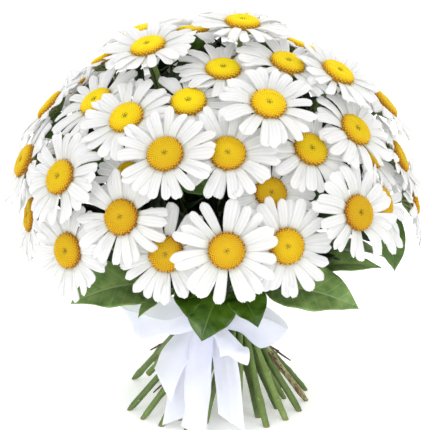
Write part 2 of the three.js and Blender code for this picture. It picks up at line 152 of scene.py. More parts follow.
def new_tree(name: str, inputs: dict[str, str]) -> tuple[NodeTree, Adder, bpy.types.NodeOutputs]:
    """Starts a geometry node tree with named inputs.

    Args:
        name: The tree's name.
        inputs: Names of the inputs after the geometry, each with its socket type.

    Returns:
        The tree, what adds a node to it, and its inputs.
    """
    tree = bpy.data.node_groups.new(name, "GeometryNodeTree")
    for place in ("INPUT", "OUTPUT"):
        tree.interface.new_socket("Geometry", in_out=place, socket_type="NodeSocketGeometry")
    for label, kind in inputs.items():
        tree.interface.new_socket(label, in_out="INPUT", socket_type=f"NodeSocket{kind}")
    return tree, partial(add_node, tree), tree.nodes.new("NodeGroupInput").outputs


def close_tree(tree: NodeTree, geometry: Socket, finish: Socket) -> NodeTree:
    """Ends a tree: makes the copies real, shades them smooth and gives them their finish.

    Args:
        tree: The tree.
        geometry: What it has made.
        finish: The material input.

    Returns:
        The tree.
    """
    real = add_node(tree, "GeometryNodeRealizeInstances", [geometry])
    smooth = add_node(tree, "GeometryNodeSetShadeSmooth", {"Geometry": real})
    dressed = add_node(tree, "GeometryNodeSetMaterial", {"Geometry": smooth, "Material": finish})
    tree.links.new(dressed, tree.nodes.new("NodeGroupOutput").inputs[0])
    return tree


def show(name: str, data: bpy.types.ID) -> Object:
    """Puts data in the scene as a new object."""
    made = bpy.data.objects.new(name, data)
    bpy.context.scene.collection.objects.link(made)
    return made


def grow(
    base: Mesh, tree: NodeTree | None, values: dict[str, Value], wall: float = 0,
) -> Mesh:
    """Runs a geometry node tree on a mesh and keeps the result as a plain mesh.

    Args:
        base: The mesh that the tree starts from.
        tree: The tree, or None to give the mesh only its wall.
        values: The tree's inputs by their names.
        wall: Thickness that the result is given, or 0 for none.

    Returns:
        The plain mesh.
    """
    host = show("host", base)
    if tree:
        modifier = host.modifiers.new("grow", "NODES")
        modifier.node_group = tree
        for item in tree.interface.items_tree:
            if item.in_out == "INPUT" and item.name in values:
                modifier[item.identifier] = values[item.name]
    if wall:
        solid = host.modifiers.new("wall", "SOLIDIFY")
        solid.thickness = wall
        solid.offset = 0
    depsgraph = bpy.context.evaluated_depsgraph_get()
    evaluated = host.evaluated_get(depsgraph)
    mesh = bpy.data.meshes.new_from_object(evaluated, preserve_all_data_layers=True, depsgraph=depsgraph)
    host.modifiers.clear()
    bpy.data.objects.remove(host)
    return mesh


def through(stops: Array, count: int) -> Array:
    """Runs a smooth curve through rows of numbers.

    Args:
        stops: One row for each point, of any width.
        count: How many steps each stretch between two points gets.

    Returns:
        The rows along the curve, the given ones among them.
    """
    padded = np.vstack([2 * stops[0] - stops[1], stops, 2 * stops[-1] - stops[-2]])
    rows = []
    for i in range(1, len(padded) - 2):
        before, start, end, after = padded[i - 1 : i + 3]
        square = 2 * before - 5 * start + 4 * end - after
        cube = 3 * start - before - 3 * end + after
        for t in np.arange(count) / count:
            rows.append(0.5 * (2 * start + (end - before) * t + square * t**2 + cube * t**3))
    return np.array([*rows, stops[-1]])


def unit(vectors: Array) -> Array:
    """Gives vectors a length of 1."""
    return vectors / np.linalg.norm(vectors, axis=-1, keepdims=True)


def along_path(path: Array) -> Array:
    """Gives the direction of a path at each of its points."""
    return unit(np.gradient(path, axis=0))


def travelled(path: Array) -> Array:
    """Gives how far along a path each of its points lies."""
    return np.concatenate([[0], np.cumsum(np.linalg.norm(np.diff(path, axis=0), axis=1))])


def from_bearing(bearing: float, radius: float, height: float) -> Array:
    """Gives the point at a bearing, counted in degrees from the front towards +X."""
    turn = math.radians(bearing)
    return np.array([radius * math.sin(turn), -radius * math.cos(turn), height])


def circle(sides: int) -> Array:
    """Gives even turns round a circle."""
    return np.arange(sides) * TURN / sides


def rings(radius: Array, level: Array, sides: int) -> Array:
    """Gives rings of points about Z, one for each radius and level."""
    radius, level, turn = np.reshape(radius, (-1, 1)), np.reshape(level, (-1, 1)), circle(sides)
    return np.stack([radius * np.cos(turn), radius * np.sin(turn), level + 0 * turn], axis=-1)


@dataclass
class Surface:
    """A mesh that is being put together from grids of points, each with the same named values.

    Attributes:
        points: Rows of points so far.
        faces: Faces so far, as numbers of points.
        values: Named values of the points so far.
    """

    points: list[Array] = field(default_factory=list)
    faces: list[tuple[int, ...]] = field(default_factory=list)
    values: dict[str, list[Array]] = field(default_factory=dict)

    def add(
        self, points: Array, wrap: bool = False, caps: bool = False, **values: Array | float,
    ) -> "Surface":
        """Adds a grid of points.

        Args:
            points: Rows and columns of points.
            wrap: Whether the last column meets the first.
            caps: Whether the first and the last row are closed by a face.
            values: Named values of the points, of a shape that spreads over the grid.

        Returns:
            The surface.
        """
        rows, columns = points.shape[:2]
        start = sum(len(block) for block in self.points)
        number = start + np.arange(rows * columns).reshape(rows, columns)
        after = np.roll(number, -1, axis=1) if wrap else number[:, 1:]
        before = number if wrap else number[:, :-1]
        quads = np.stack([before[:-1], after[:-1], after[1:], before[1:]], axis=-1)
        self.faces += [tuple(quad) for quad in quads.reshape(-1, 4).tolist()]
        if caps:
            self.faces += [tuple(number[0, ::-1].tolist()), tuple(number[-1].tolist())]
        self.points.append(points.reshape(-1, 3))
        for name, value in values.items():
            self.values.setdefault(name, []).append(np.broadcast_to(value, points.shape[:2]).reshape(-1))
        return self

    def tube(self, path: Array, radii: Array, sides: int, **values: Array | float) -> None:
        """Adds a closed round stalk.

        Args:
            path: The points of its middle line.
            radii: A radius for each.
            sides: How many sides it has.
            values: Named values, one for each point of the path or one for all.
        """
        forward = along_path(path)
        side = unit(np.cross(forward, (0.31, 0.17, 0.94)))
        other = np.cross(forward, side)
        turn = circle(sides)[:, None]
        ring = side[:, None] * np.cos(turn) + other[:, None] * np.sin(turn)
        points = path[:, None] + ring * np.reshape(radii, (-1, 1, 1))
        columns = {name: np.reshape(value, (-1, 1)) for name, value in values.items()}
        self.add(points, wrap=True, caps=True, **columns)

    def mesh(self, name: str, wall: float = 0) -> Mesh:
        """Makes the mesh, with the named values as attributes of its points.

        Args:
            name: The mesh's name.
            wall: Thickness that an open surface is given, or 0 for none.

        Returns:
            The mesh.
        """
        made = bpy.data.meshes.new(name)
        made.from_pydata(np.vstack(self.points).tolist(), [], self.faces)
        for label, blocks in self.values.items():
            made.attributes.new(label, "FLOAT", "POINT").data.foreach_set("value", np.concatenate(blocks))
        made.update()
        return grow(made, None, {}, wall) if wall else made


def points_mesh(
    places: Array, edges: list[tuple[int, int]] | None = None, **values: Array,
) -> Mesh:
    """Makes loose points for a tree to work on.

    Args:
        places: The points.
        edges: Pairs of points that are joined into a line.
        values: Named values of the points, as numbers or as triples.

    Returns:
        A mesh without faces.
    """
    mesh = bpy.data.meshes.new("points")
    mesh.from_pydata(np.asarray(places).tolist(), edges or [], [])
    for name, value in values.items():
        flat = np.asarray(value, np.float32)
        kind, key = ("FLOAT_VECTOR", "vector") if flat.ndim == 2 else ("FLOAT", "value")
        mesh.attributes.new(name, kind, "POINT").data.foreach_set(key, flat.ravel())
    return mesh


def coordinates(mesh: Mesh) -> Array:
    """Reads a mesh's points."""
    flat = np.zeros(len(mesh.vertices) * 3, np.float32)
    mesh.vertices.foreach_get("co", flat)
    return flat.reshape(-1, 3)


def template(mesh: Mesh) -> Object:
    """Wraps a mesh that a tree copies. It is in no collection, so it never shows."""
    return bpy.data.objects.new(mesh.name, mesh)


def keep_piece(
    name: str, mesh: Mesh, slot: Slot, nodes: list[str], finish: Material,
) -> Object:
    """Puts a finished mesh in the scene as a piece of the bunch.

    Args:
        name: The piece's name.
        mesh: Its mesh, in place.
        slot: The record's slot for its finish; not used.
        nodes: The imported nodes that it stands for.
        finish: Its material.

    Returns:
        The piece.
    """
    mesh.name = name
    mesh.materials.clear()
    mesh.materials.append(finish)
    mesh.polygons.foreach_set("use_smooth", [True] * len(mesh.polygons))
    mesh.polygons.foreach_set("material_index", [0] * len(mesh.polygons))
    mesh.update()
    piece = show(name, mesh)
    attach(piece, BODY)
    if nodes:
        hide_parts(*nodes)
    LOG.info("%s: %d faces", name, len(mesh.polygons))
    return piece


# ---- finishes ----


@dataclass(frozen=True)
class Finish:
    """What every finish has: the name of the real stuff and the plain numbers of its shader.

    Attributes:
        name: The material's name.
        roughness: How matt it is.
        ior: Its index of refraction.
        sheen: How much light its fine hairs or threads catch.
        grain: The size of its grain, in metres.
        glow: Light that it gives off, in place of what would come through it from its far side.
        flesh: How much of the light spreads inside it, in which tint and how deep.
        relief: Strength and depth of its fine relief.
    """

    name: str
    roughness: float
    ior: float = 1.45
    sheen: float = 0.0
    grain: float = 1 * MM
    glow: float = 0.0
    flesh: tuple[float, Triple, float] = (0.0, (1.0, 0.2, 0.1), 50 * MM)
    relief: Pair = (0.3, 0.2 * MM)

    def make(self) -> Material:
        """Makes the material from its plain numbers and its pattern."""
        material = bpy.data.materials.new(self.name)
        material.use_nodes = True
        tree = material.node_tree
        shader = tree.nodes["Principled BSDF"].inputs
        plain = {
            "Roughness": self.roughness, "IOR": self.ior, "Sheen Weight": self.sheen,
            "Emission Strength": self.glow, "Subsurface Weight": self.flesh[0],
            "Subsurface Radius": self.flesh[1], "Subsurface Scale": self.flesh[2],
        }
        for socket, value in plain.items():
            shader[socket].default_value = value
        colour, height = self.pattern(partial(add_node, tree))
        strength, depth = self.relief
        bump = add_node(tree, "ShaderNodeBump", {"Height": height, "Strength": strength, "Distance": depth})
        tree.links.new(colour, shader["Base Color"])
        tree.links.new(bump, shader["Normal"])
        return material

    def pattern(self, add: Adder) -> tuple[Socket, Socket]:
        """Gives its colour and the height of its relief. Each finish has its own."""
        raise NotImplementedError

    def noise(self, add: Adder, size: float, stretch: Triple = (1, 1, 1)) -> Socket:
        """Adds a soft irregular pattern in the piece's own coordinates.

        Args:
            add: What adds a node.
            size: The size of its patches, in metres.
            stretch: How much finer it is along each axis.

        Returns:
            The pattern, from 0 to 1.
        """
        where = add("ShaderNodeTexCoord", out="Object")
        scaled = add("ShaderNodeMapping", {"Vector": where, "Scale": stretch})
        return add("ShaderNodeTexNoise", {"Vector": scaled, "Scale": 1 / size, "Detail": 3.0}, "Fac")


@dataclass(frozen=True)
class PetalTissue(Finish):
    """Ray petal tissue: thin, matt and full of air, so it is white and green at its root, with painted grey
    shade in its furrows and along its edges.

    Attributes:
        veins: How many fine veins run along a petal.
        stops: Its colour from root to tip.
        furrow: How much painted grey shade its furrows and edges take on, and that shade's colour.
    """

    flesh: tuple[float, Triple, float] = (0.65, (1.0, 1.0, 0.95), 3.5 * MM)
    relief: Pair = (0.4, 0.06 * MM)
    veins: int = 13
    stops: Stops = (
        (0.0, "#A7AA73"), (0.07, "#BEC0A7"), (0.18, "#C8C9C1"), (0.5, "#CECECD"), (1.0, "#CFCFCF"),
    )
    furrow: tuple[float, str] = (0.3, "#AAACA9")

    def pattern(self, add: Adder) -> tuple[Socket, Socket]:
        """Gives its colour and the height of its relief."""
        along, across, furrow = (
            add("ShaderNodeAttribute", out="Fac", attribute_name=name)
            for name in ("along", "across", "furrow")
        )
        body = add("ShaderNodeValToRGB", [along], stops=self.stops)
        # painted shade: the furrows and the edges are mixed towards grey
        shade = add("ShaderNodeMath", [furrow, self.furrow[0]], operation="MULTIPLY")
        furrow_shaded = add("ShaderNodeMix", {0: shade, 6: body, 7: linear(self.furrow[1])}, 2, data_type="RGBA")
        stripes = add("ShaderNodeMath", [across, math.pi * self.veins], operation="MULTIPLY")
        return furrow_shaded, add("ShaderNodeMath", [stripes], operation="SINE")


@dataclass(frozen=True)
class DiscPollen(Finish):
    """Disc florets: waxy buds dusted with pollen, greener in the middle and burnt orange to brown at the rim,
    partly their own colour and partly painted shade where the disc meets the petals.

    Attributes:
        gold: The colour of a fresh and of an old disc.
        stops: What dims that colour from the middle to the rim, painted shade at the rim among it.
        reach: The share of the ramp that a disc takes up.
    """

    relief: Pair = (0.3, 0.1 * MM)
    gold: tuple[str, str] = ("#F8E404", "#DAB404")
    stops: Stops = (
        (0.05, "#6E7040"), (0.13, "#B4AE70"), (0.2, "#FFFFFF"), (0.46, "#FFFFFF"),
        (0.62, "#FFF3E0"), (0.7, "#F2D8AC"), (0.75, "#B98F58"), (0.79, "#745628"),
    )
    reach: float = 0.72

    def pattern(self, add: Adder) -> tuple[Socket, Socket]:
        """Gives its colour and the height of its relief."""
        ring, age = (add("ShaderNodeAttribute", out="Fac", attribute_name=name) for name in ("ring", "age"))
        grain = self.noise(add, self.grain)
        shifted = add("ShaderNodeMath", [grain, 0.08, ring], operation="MULTIPLY_ADD")
        share = add("ShaderNodeMath", [shifted, self.reach], operation="MULTIPLY")
        # the ramp darkens to brown at the rim: partly the outer florets' own colour, partly painted shade
        # where the disc meets the petals
        shade = add("ShaderNodeValToRGB", [share], stops=self.stops)
        fresh, old = (linear(code) for code in self.gold)
        gold = add("ShaderNodeMix", {0: age, 6: fresh, 7: old}, 2, data_type="RGBA")
        dimmed_and_rim_shaded = {0: 1.0, 6: gold, 7: shade}
        return add("ShaderNodeMix", dimmed_and_rim_shaded, 2, data_type="RGBA", blend_type="MULTIPLY"), grain


@dataclass(frozen=True)
class StemSkin(Finish):
    """Green stem skin: waxy, finely ridged, mottled from yellow green to dull brown and dry at the cut.

    Attributes:
        stops: Its colours from shaded green to brown.
        cut: The colour of the dry cut, how much of it shows there, and how far up it reaches.
        patches: How much its patches and its streaks shift its tone.
    """

    relief: Pair = (0.5, 0.15 * MM)
    stops: Stops = (
        (0.2, "#46592A"), (0.45, "#647A3A"), (0.7, "#869B56"), (0.9, "#A9B474"), (1.0, "#7A5640"),
    )
    cut: tuple[str, float, float] = ("#7B6B3E", 0.75, 2.5 * MM)
    patches: Pair = (0.35, 0.3)

    def pattern(self, add: Adder) -> tuple[Socket, Socket]:
        """Gives its colour and the height of its relief."""
        tone, reach = (
            add("ShaderNodeAttribute", out="Fac", attribute_name=name) for name in ("tone", "reach")
        )
        patches = self.noise(add, self.grain, (1, 1, 0.25))
        # the real streaks are 0.3 mm apart, too fine to show, so they are drawn three times as coarse
        streaks = self.noise(add, 0.9 * MM, (1, 1, 0.1))
        mottled = add("ShaderNodeMath", [patches, self.patches[0], tone], operation="MULTIPLY_ADD")
        share = add("ShaderNodeMath", [streaks, self.patches[1], mottled], operation="MULTIPLY_ADD")
        skin = add("ShaderNodeValToRGB", [share], stops=self.stops)
        colour, most, depth = self.cut
        cut = add("ShaderNodeMapRange", [reach, 0.0, depth, most, 0.0])
        ended = add("ShaderNodeMix", {0: cut, 6: skin, 7: linear(colour)}, 2, data_type="RGBA")
        return ended, self.noise(add, 0.8 * MM, (1, 1, 0.08))


# side veins come every second step of these along a leaf, and lean forward by this share of the way out
LEAF_VEINS = 15.0
LEAF_VEIN_LEAN = 0.75


@dataclass(frozen=True)
class LeafSkin(Finish):
    """A broad evergreen leaf: a thick waxy skin, with a pale midrib and a net of paler veins.

    Attributes:
        dark: The darker colour of its skin.
        light: The lighter one.
        vein: The colour of its veins.
        side_vein: Where a side vein's colour starts and ends to fade, and how strong it is.
        midrib: The same for the midrib.
    """

    relief: Pair = (0.25, 0.2 * MM)
    dark: str = "#2C4C08"
    light: str = "#4A6C14"
    vein: str = "#6C8A3C"
    side_vein: Triple = (0.02, 0.1, 0.34)
    midrib: Triple = (0.01, 0.045, 0.7)

    def pattern(self, add: Adder) -> tuple[Socket, Socket]:
        """Gives its colour and the height of its relief."""
        along, across, off = (
            add("ShaderNodeAttribute", out="Fac", attribute_name=name)
            for name in ("along", "across", "off_midrib")
        )
        beside = add("ShaderNodeMath", [across], operation="ABSOLUTE")
        patches = self.noise(add, self.grain)
        skin = add("ShaderNodeValToRGB", [patches], stops=((0.3, self.dark), (0.7, self.light)))
        lean = add("ShaderNodeMath", [off, -LEAF_VEIN_LEAN], operation="MULTIPLY")
        ahead = add("ShaderNodeMath", [along, lean], operation="ADD")
        place = add("ShaderNodeMath", [ahead, LEAF_VEINS], operation="MULTIPLY")
        step = add("ShaderNodeMath", [place, 1.0], operation="PINGPONG")
        side = add("ShaderNodeMapRange", [step, *self.side_vein, 0.0])
        rib = add("ShaderNodeMapRange", [beside, *self.midrib, 0.0])
        veins = add("ShaderNodeMath", [side, rib], operation="MAXIMUM")
        veined = add("ShaderNodeMix", {0: veins, 6: skin, 7: linear(self.vein)}, 2, data_type="RGBA")
        return veined, self.noise(add, 1.2 * MM)


@dataclass(frozen=True)
class Satin(Finish):
    """White satin: smooth floating threads, so it shines softly along its length and shades to lavender.

    Attributes:
        thread: The distance between threads.
        width: The ribbon's width.
        stops: Its two close whites.
    """

    flesh: tuple[float, Triple, float] = (0.6, (1.0, 1.0, 1.05), 8 * MM)
    relief: Pair = (0.12, 0.05 * MM)
    # the real threads lie 0.15 mm apart, too fine to show, so they are drawn four times as coarse
    thread: float = 0.6 * MM
    width: float = 25 * MM
    stops: Stops = ((0.25, "#BCC0DC"), (0.75, "#CED1E3"))

    def pattern(self, add: Adder) -> tuple[Socket, Socket]:
        """Gives its colour and the height of its relief."""
        across = add("ShaderNodeAttribute", out="Fac", attribute_name="across")
        colour = add("ShaderNodeValToRGB", [self.noise(add, self.grain)], stops=self.stops)
        count = add("ShaderNodeMath", [across, math.pi * self.width / self.thread], operation="MULTIPLY")
        return colour, add("ShaderNodeMath", [count], operation="SINE")


@dataclass(frozen=True)
class Fibre(Finish):
    """Plain fibrous stuff in two close colours, such as twine, bark or card.

    Attributes:
        dark: The darker colour.
        light: The lighter one.
    """

    dark: str = "#6B4A2B"
    light: str = "#A98556"

    def pattern(self, add: Adder) -> tuple[Socket, Socket]:
        """Gives its colour and the height of its relief."""
        grain = self.noise(add, self.grain)
        return add("ShaderNodeValToRGB", [grain], stops=((0.3, self.dark), (0.7, self.light))), grain


# ---- trees that copy shapes ----


def copies(
    add: Adder, points: Socket, forms: list[Socket], pick: Socket, facing: Socket, size: Socket,
) -> Socket:
    """Copies one of several shapes onto each point.

    Args:
        add: What adds a node.
        points: The points.
        forms: The shapes' inputs.
        pick: The number of the shape that a point gets.
        facing: How it is turned.
        size: How large it is.

    Returns:
        The copies.
    """
    shapes = [
        add("GeometryNodeObjectInfo", {"Object": form, "As Instance": True}, "Geometry") for form in forms
    ]
    return add("GeometryNodeInstanceOnPoints", {
        "Points": points, "Instance": add("GeometryNodeJoinGeometry", [shapes]), "Pick Instance": True,
        "Instance Index": pick, "Rotation": facing, "Scale": size,
    })


def varied(add: Adder, size: Socket, inputs: bpy.types.NodeOutputs) -> Socket:
    """Makes sizes smaller at random, by up to the tree's spread."""
    least = add("ShaderNodeMath", [1.0, inputs["Spread"]], operation="SUBTRACT")
    chance = add("FunctionNodeRandomValue", {2: least, 3: 1.0, "Seed": inputs["Seed"]}, 1, data_type="FLOAT")
    return add("ShaderNodeMath", [size, chance], operation="MULTIPLY")


def petal_ring_tree() -> NodeTree:
    """Copies petals onto points round a head, and bends each by the numbers that its point holds."""
    forms = ("Toothed petal", "Round petal", "Narrow petal")
    sockets = {**dict.fromkeys(forms, "Object"), "Seed": "Int", "Finish": "Material"}
    tree, add, inputs = new_tree("petal_ring", sockets)
    turn, length, width, rise, fall, twist, cup, sway, along, across = (
        add("GeometryNodeInputNamedAttribute", {"Name": name}, data_type="FLOAT")
        for name in ("turn", "length", "width", "rise", "fall", "twist", "cup", "sway", "along", "across")
    )
    chosen = {4: 0, 5: len(forms) - 1, "Seed": inputs["Seed"]}
    pick = add("FunctionNodeRandomValue", chosen, 2, data_type="INT")
    facing = add("ShaderNodeCombineXYZ", {"Z": turn})
    size = add("ShaderNodeCombineXYZ", [length, width, 1.0])
    ring = copies(add, inputs["Geometry"], [inputs[form] for form in forms], pick, facing, size)
    real = add("GeometryNodeRealizeInstances", [ring])
    arc = add("ShaderNodeMath", [fall, along, rise], operation="MULTIPLY_ADD")
    tilt = add("ShaderNodeMath", [cup, across, twist], operation="MULTIPLY_ADD")
    roll = add("ShaderNodeMath", [tilt, across, arc], operation="MULTIPLY_ADD")
    height = add("ShaderNodeMath", [roll, along], operation="MULTIPLY")
    lean = add("ShaderNodeMath", [sway, along], operation="MULTIPLY")
    aside = add("ShaderNodeMath", [lean, along], operation="MULTIPLY")
    local = add("ShaderNodeCombineXYZ", {"Y": aside, "Z": height})
    offset = add("ShaderNodeVectorRotate", {"Vector": local, "Angle": turn}, rotation_type="Z_AXIS")
    bent = add("GeometryNodeSetPosition", {"Geometry": real, "Offset": offset})
    return close_tree(tree, bent, inputs["Finish"])


# how far a floret leans outwards and how far it has grown, over the disc's radius
FLORET_LEAN = ((0, 0), (0.5, 0.1), (0.8, 0.42), (1, 1))
FLORET_GROWTH = ((0, 0.55), (0.25, 0.72), (0.6, 0.92), (1, 1))


def floret_tree() -> NodeTree:
    """Packs florets over a disc in the golden-angle spiral that a daisy grows."""
    tree, add, inputs = new_tree("floret_spiral", {
        "Bud": "Object", "Open floret": "Object", "Florets": "Int", "Radius": "Float", "Height": "Float",
        "Spread": "Float", "Seed": "Int", "Finish": "Material",
    })
    number = add("GeometryNodeInputIndex")
    line = add("GeometryNodeMeshLine", {"Count": inputs["Florets"]})
    middle = add("ShaderNodeMath", [number, 0.5], operation="ADD")
    part = add("ShaderNodeMath", [middle, inputs["Florets"]], operation="DIVIDE")
    ring = add("ShaderNodeMath", [part], operation="SQRT")
    angle = add("ShaderNodeMath", [number, GOLDEN_ANGLE], operation="MULTIPLY")
    dome = add("ShaderNodeFloatCurve", {"Value": ring}, curve=DISC_PROFILE)
    height = add("ShaderNodeMath", [dome, inputs["Height"]], operation="MULTIPLY")
    out = add("ShaderNodeMath", [ring, inputs["Radius"]], operation="MULTIPLY")
    place = add("ShaderNodeCombineXYZ", {"X": out, "Z": height})
    turned = add("ShaderNodeVectorRotate", {"Vector": place, "Angle": angle}, rotation_type="Z_AXIS")
    spiral = add("GeometryNodeSetPosition", {"Geometry": line, "Position": turned})
    mark = {"Geometry": spiral, "Name": "ring", "Value": ring}
    marked = add("GeometryNodeStoreNamedAttribute", mark, data_type="FLOAT")
    lean = add("ShaderNodeFloatCurve", {"Value": ring}, curve=FLORET_LEAN)
    facing = add("ShaderNodeCombineXYZ", {"Y": lean, "Z": angle})
    grown = add("ShaderNodeFloatCurve", {"Value": ring}, curve=FLORET_GROWTH)
    size = varied(add, grown, inputs)
    opened = add("ShaderNodeMath", [ring, 0.5], operation="GREATER_THAN")
    florets = copies(add, marked, [inputs["Open floret"], inputs["Bud"]], opened, facing, size)
    whole = add("GeometryNodeJoinGeometry", [[inputs["Geometry"], florets]])
    return close_tree(tree, whole, inputs["Finish"])


def on_points_tree() -> NodeTree:
    """Copies one of two shapes onto points, turned and sized by what each point holds."""
    forms = ("First form", "Second form")
    sockets = {**dict.fromkeys(forms, "Object"), "Spread": "Float", "Seed": "Int", "Finish": "Material"}
    tree, add, inputs = new_tree("on_points", sockets)
    facing = add("GeometryNodeInputNamedAttribute", {"Name": "facing"}, data_type="FLOAT_VECTOR")
    size = add("GeometryNodeInputNamedAttribute", {"Name": "size"}, data_type="FLOAT")
    pick = add("FunctionNodeRandomValue", {4: 0, 5: 1, "Seed": inputs["Seed"]}, 2, data_type="INT")
    scale = varied(add, size, inputs)
    placed = copies(add, inputs["Geometry"], [inputs[form] for form in forms], pick, facing, scale)
    return close_tree(tree, placed, inputs["Finish"])


@dataclass
class Planting:
    """Places where copies of a shape go.

    Attributes:
        places: The places.
        facing: The three turns of each copy.
        sizes: The size of each.
    """

    places: list[Triple] = field(default_factory=list)
    facing: list[Triple] = field(default_factory=list)
    sizes: list[float] = field(default_factory=list)

    def add(self, place: Triple, facing: Triple, size: float = 1.0) -> None:
        """Adds a place."""
        self.places.append(tuple(place))
        self.facing.append(tuple(facing))
        self.sizes.append(size)

    def plant(
        self, forms: list[Object], finish: Material, seed: int, spread: float = 0.0,
        **values: list[float],
    ) -> Mesh:
        """Copies one of one or two shapes onto each place.

        Args:
            forms: The shapes.
            finish: Their material.
            seed: What shapes and sizes are drawn with.
            spread: How much smaller a copy may be, as a share.
            values: More named values of the places, which the copies take on.

        Returns:
            The copies as one mesh.
        """
        points = points_mesh(self.places, facing=self.facing, size=self.sizes, **values)
        return grow(points, on_points_tree(), {
            "First form": forms[0], "Second form": forms[-1], "Finish": finish, "Spread": spread, "Seed": seed
        })


def stalk_tree() -> NodeTree:
    """Sweeps a ridged round section along lines of points, as thick as each point says."""
    sockets = {"Sides": "Int", "Ridges": "Float", "Ridge depth": "Float", "Finish": "Material"}
    tree, add, inputs = new_tree("stalks", sockets)
    thick = add("GeometryNodeInputNamedAttribute", {"Name": "thickness"}, data_type="FLOAT")
    lines = add("GeometryNodeMeshToCurve", {"Mesh": inputs["Geometry"]})
    circle_line = add("GeometryNodeCurvePrimitiveCircle", {"Resolution": inputs["Sides"], "Radius": 1.0})
    number = add("GeometryNodeInputIndex")
    part = add("ShaderNodeMath", [number, inputs["Sides"]], operation="DIVIDE")
    turns = add("ShaderNodeMath", [part, inputs["Ridges"]], operation="MULTIPLY")
    angle = add("ShaderNodeMath", [turns, TURN], operation="MULTIPLY")
    wave = add("ShaderNodeMath", [angle], operation="COSINE")
    ridge = add("ShaderNodeMath", [wave, inputs["Ridge depth"], 1.0], operation="MULTIPLY_ADD")
    where = add("GeometryNodeInputPosition")
    moved = add("ShaderNodeVectorMath", {0: where, "Scale": ridge}, operation="SCALE")
    profile = add("GeometryNodeSetPosition", {"Geometry": circle_line, "Position": moved})
    sweep = {"Curve": lines, "Profile Curve": profile, "Scale": thick, "Fill Caps": True}
    return close_tree(tree, add("GeometryNodeCurveToMesh", sweep), inputs["Finish"])


# ---- the heads' places ----


class Draws:
    """The even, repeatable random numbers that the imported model's petals and stems were drawn with."""

    FACTOR = 16807
    RANGE = 2147483647

    def __init__(self, seed: int) -> None:
        """Starts a run of numbers from a seed."""
        self.state = seed * 7919 + 17

    def between(self, low: float, high: float) -> float:
        """Draws the next number."""
        self.state = (self.state * self.FACTOR) % self.RANGE
        return low + (high - low) * (self.state / self.RANGE)


@dataclass(frozen=True)
class Head:
    """A head's place on the dome.

    Attributes:
        bearing: Degrees from the front towards +X.
        rise: Degrees above the dome's middle height.
        lift: How far it stands out of the dome, in millimetres.
        size: Its share of a full head.
    """

    bearing: float
    rise: float
    lift: float
    size: float = 1.0

    def matrix(self) -> Matrix:
        """Gives the head's frame, with its axis square to the dome but tilted up towards the lowest row."""
        rise = math.radians(self.rise)
        out, up = DOME.radius * math.cos(rise), DOME.height + DOME.rise * math.sin(rise)
        slope = math.atan2(DOME.radius * math.sin(rise), DOME.rise * math.cos(rise))
        pitch = math.radians(DOME.lowest_pitch) + (1 - DOME.lowest_pitch / 90) * slope
        axis = Vector(from_bearing(self.bearing, math.cos(pitch), math.sin(pitch)))
        right = Vector((0, 0, 1)).cross(axis).normalized()
        made = Matrix((right, axis.cross(right), axis)).transposed().to_4x4()
        made.translation = Vector(from_bearing(self.bearing, out, up)) + axis * self.lift * MM
        return made


@dataclass(frozen=True)
class Dome:
    """The dome that the heads stand on, and the parts of a full head."""

    radius: float = 140 * MM
    rise: float = 127 * MM
    height: float = 162 * MM
    lowest_pitch: float = 14.0
    head_radius: float = 36 * MM
    disc_radius: float = 13 * MM
    disc_rise: float = 5.6 * MM
    calyx_depth: float = 7 * MM
    petal_slices: int = 12


DOME = Dome()

# The disc's height over its radius, as shares: a low dome with a dimple, which falls off at its rim.
DISC_PROFILE = (
    (0, 0.84), (0.12, 0.92), (0.3, 0.99), (0.5, 1), (0.7, 0.95), (0.85, 0.81), (0.95, 0.52), (1, 0.2),
)

FRONT_HEADS = (
    # lowest row, left to right
    Head(-76, -2, -3), Head(-44, -4, 6), Head(-14, 0, -5), Head(3, 2, 8), Head(20, 2, 1),
    Head(42, 8, 8), Head(61, 7, -5), Head(87, -1, 6),
    # second row
    Head(-76, 15, 6), Head(-49, 17, 8), Head(-27, 10, 1), Head(18, 20, -12, 0.9), Head(69, 23, -12, 0.85),
    Head(85, 15, -1),
    # third row
    Head(-93, 31, 1), Head(-31, 25, -14, 0.75), Head(-15, 29, 8), Head(4, 31, 1), Head(34, 31, -5),
    Head(54, 32, 2), Head(90, 31, 5),
    # fourth row
    Head(-59, 44, -6), Head(-34, 40, 1), Head(-12, 50, -6), Head(20, 44, 8), Head(64, 49, 8),
    Head(95, 47, -4),
    # round the top
    Head(-108, 52, -4), Head(-47, 64, 8), Head(6, 66, -9), Head(46, 60, 1), Head(44, 79, 9),
    Head(112, 60, -5), Head(150, 73, 4), Head(-97, 67, 4), Head(-135, 80, -6),
)

# rise, first bearing, step and count of each row at the back
BACK_ROWS = ((8, 108, 25.5, 7), (33, 120, 24.5, 6), (56, 145, 38, 3))
BACK_SIZE = 1.08
BACK_LIFTS = (-4, 4)


def all_heads() -> list[Head]:
    """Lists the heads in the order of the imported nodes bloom_01 to bloom_52."""
    back = [
        Head(first + step * i, rise, BACK_LIFTS[(i + row) % 2], BACK_SIZE)
        for row, (rise, first, step, count) in enumerate(BACK_ROWS)
        for i in range(count)
    ]
    return [*FRONT_HEADS, *back]


# ---- petals ----


class PetalForm(Enum):
    """Outlines of a petal: how far each column reaches, and the half width at each row, as shares."""

    TOOTHED = ((0.93, 0.98, 0.965, 1.0, 0.965, 0.975, 0.925), (0.6, 0.82, 0.94, 1.0, 0.97, 0.85, 0.58))
    ROUND = ((0.93, 0.965, 0.985, 1.0, 0.99, 0.97, 0.925), (0.58, 0.8, 0.95, 1.0, 0.95, 0.79, 0.5))
    NARROW = ((0.94, 0.99, 0.97, 0.985, 0.97, 0.985, 0.93), (0.56, 0.72, 0.82, 0.88, 0.88, 0.78, 0.52))


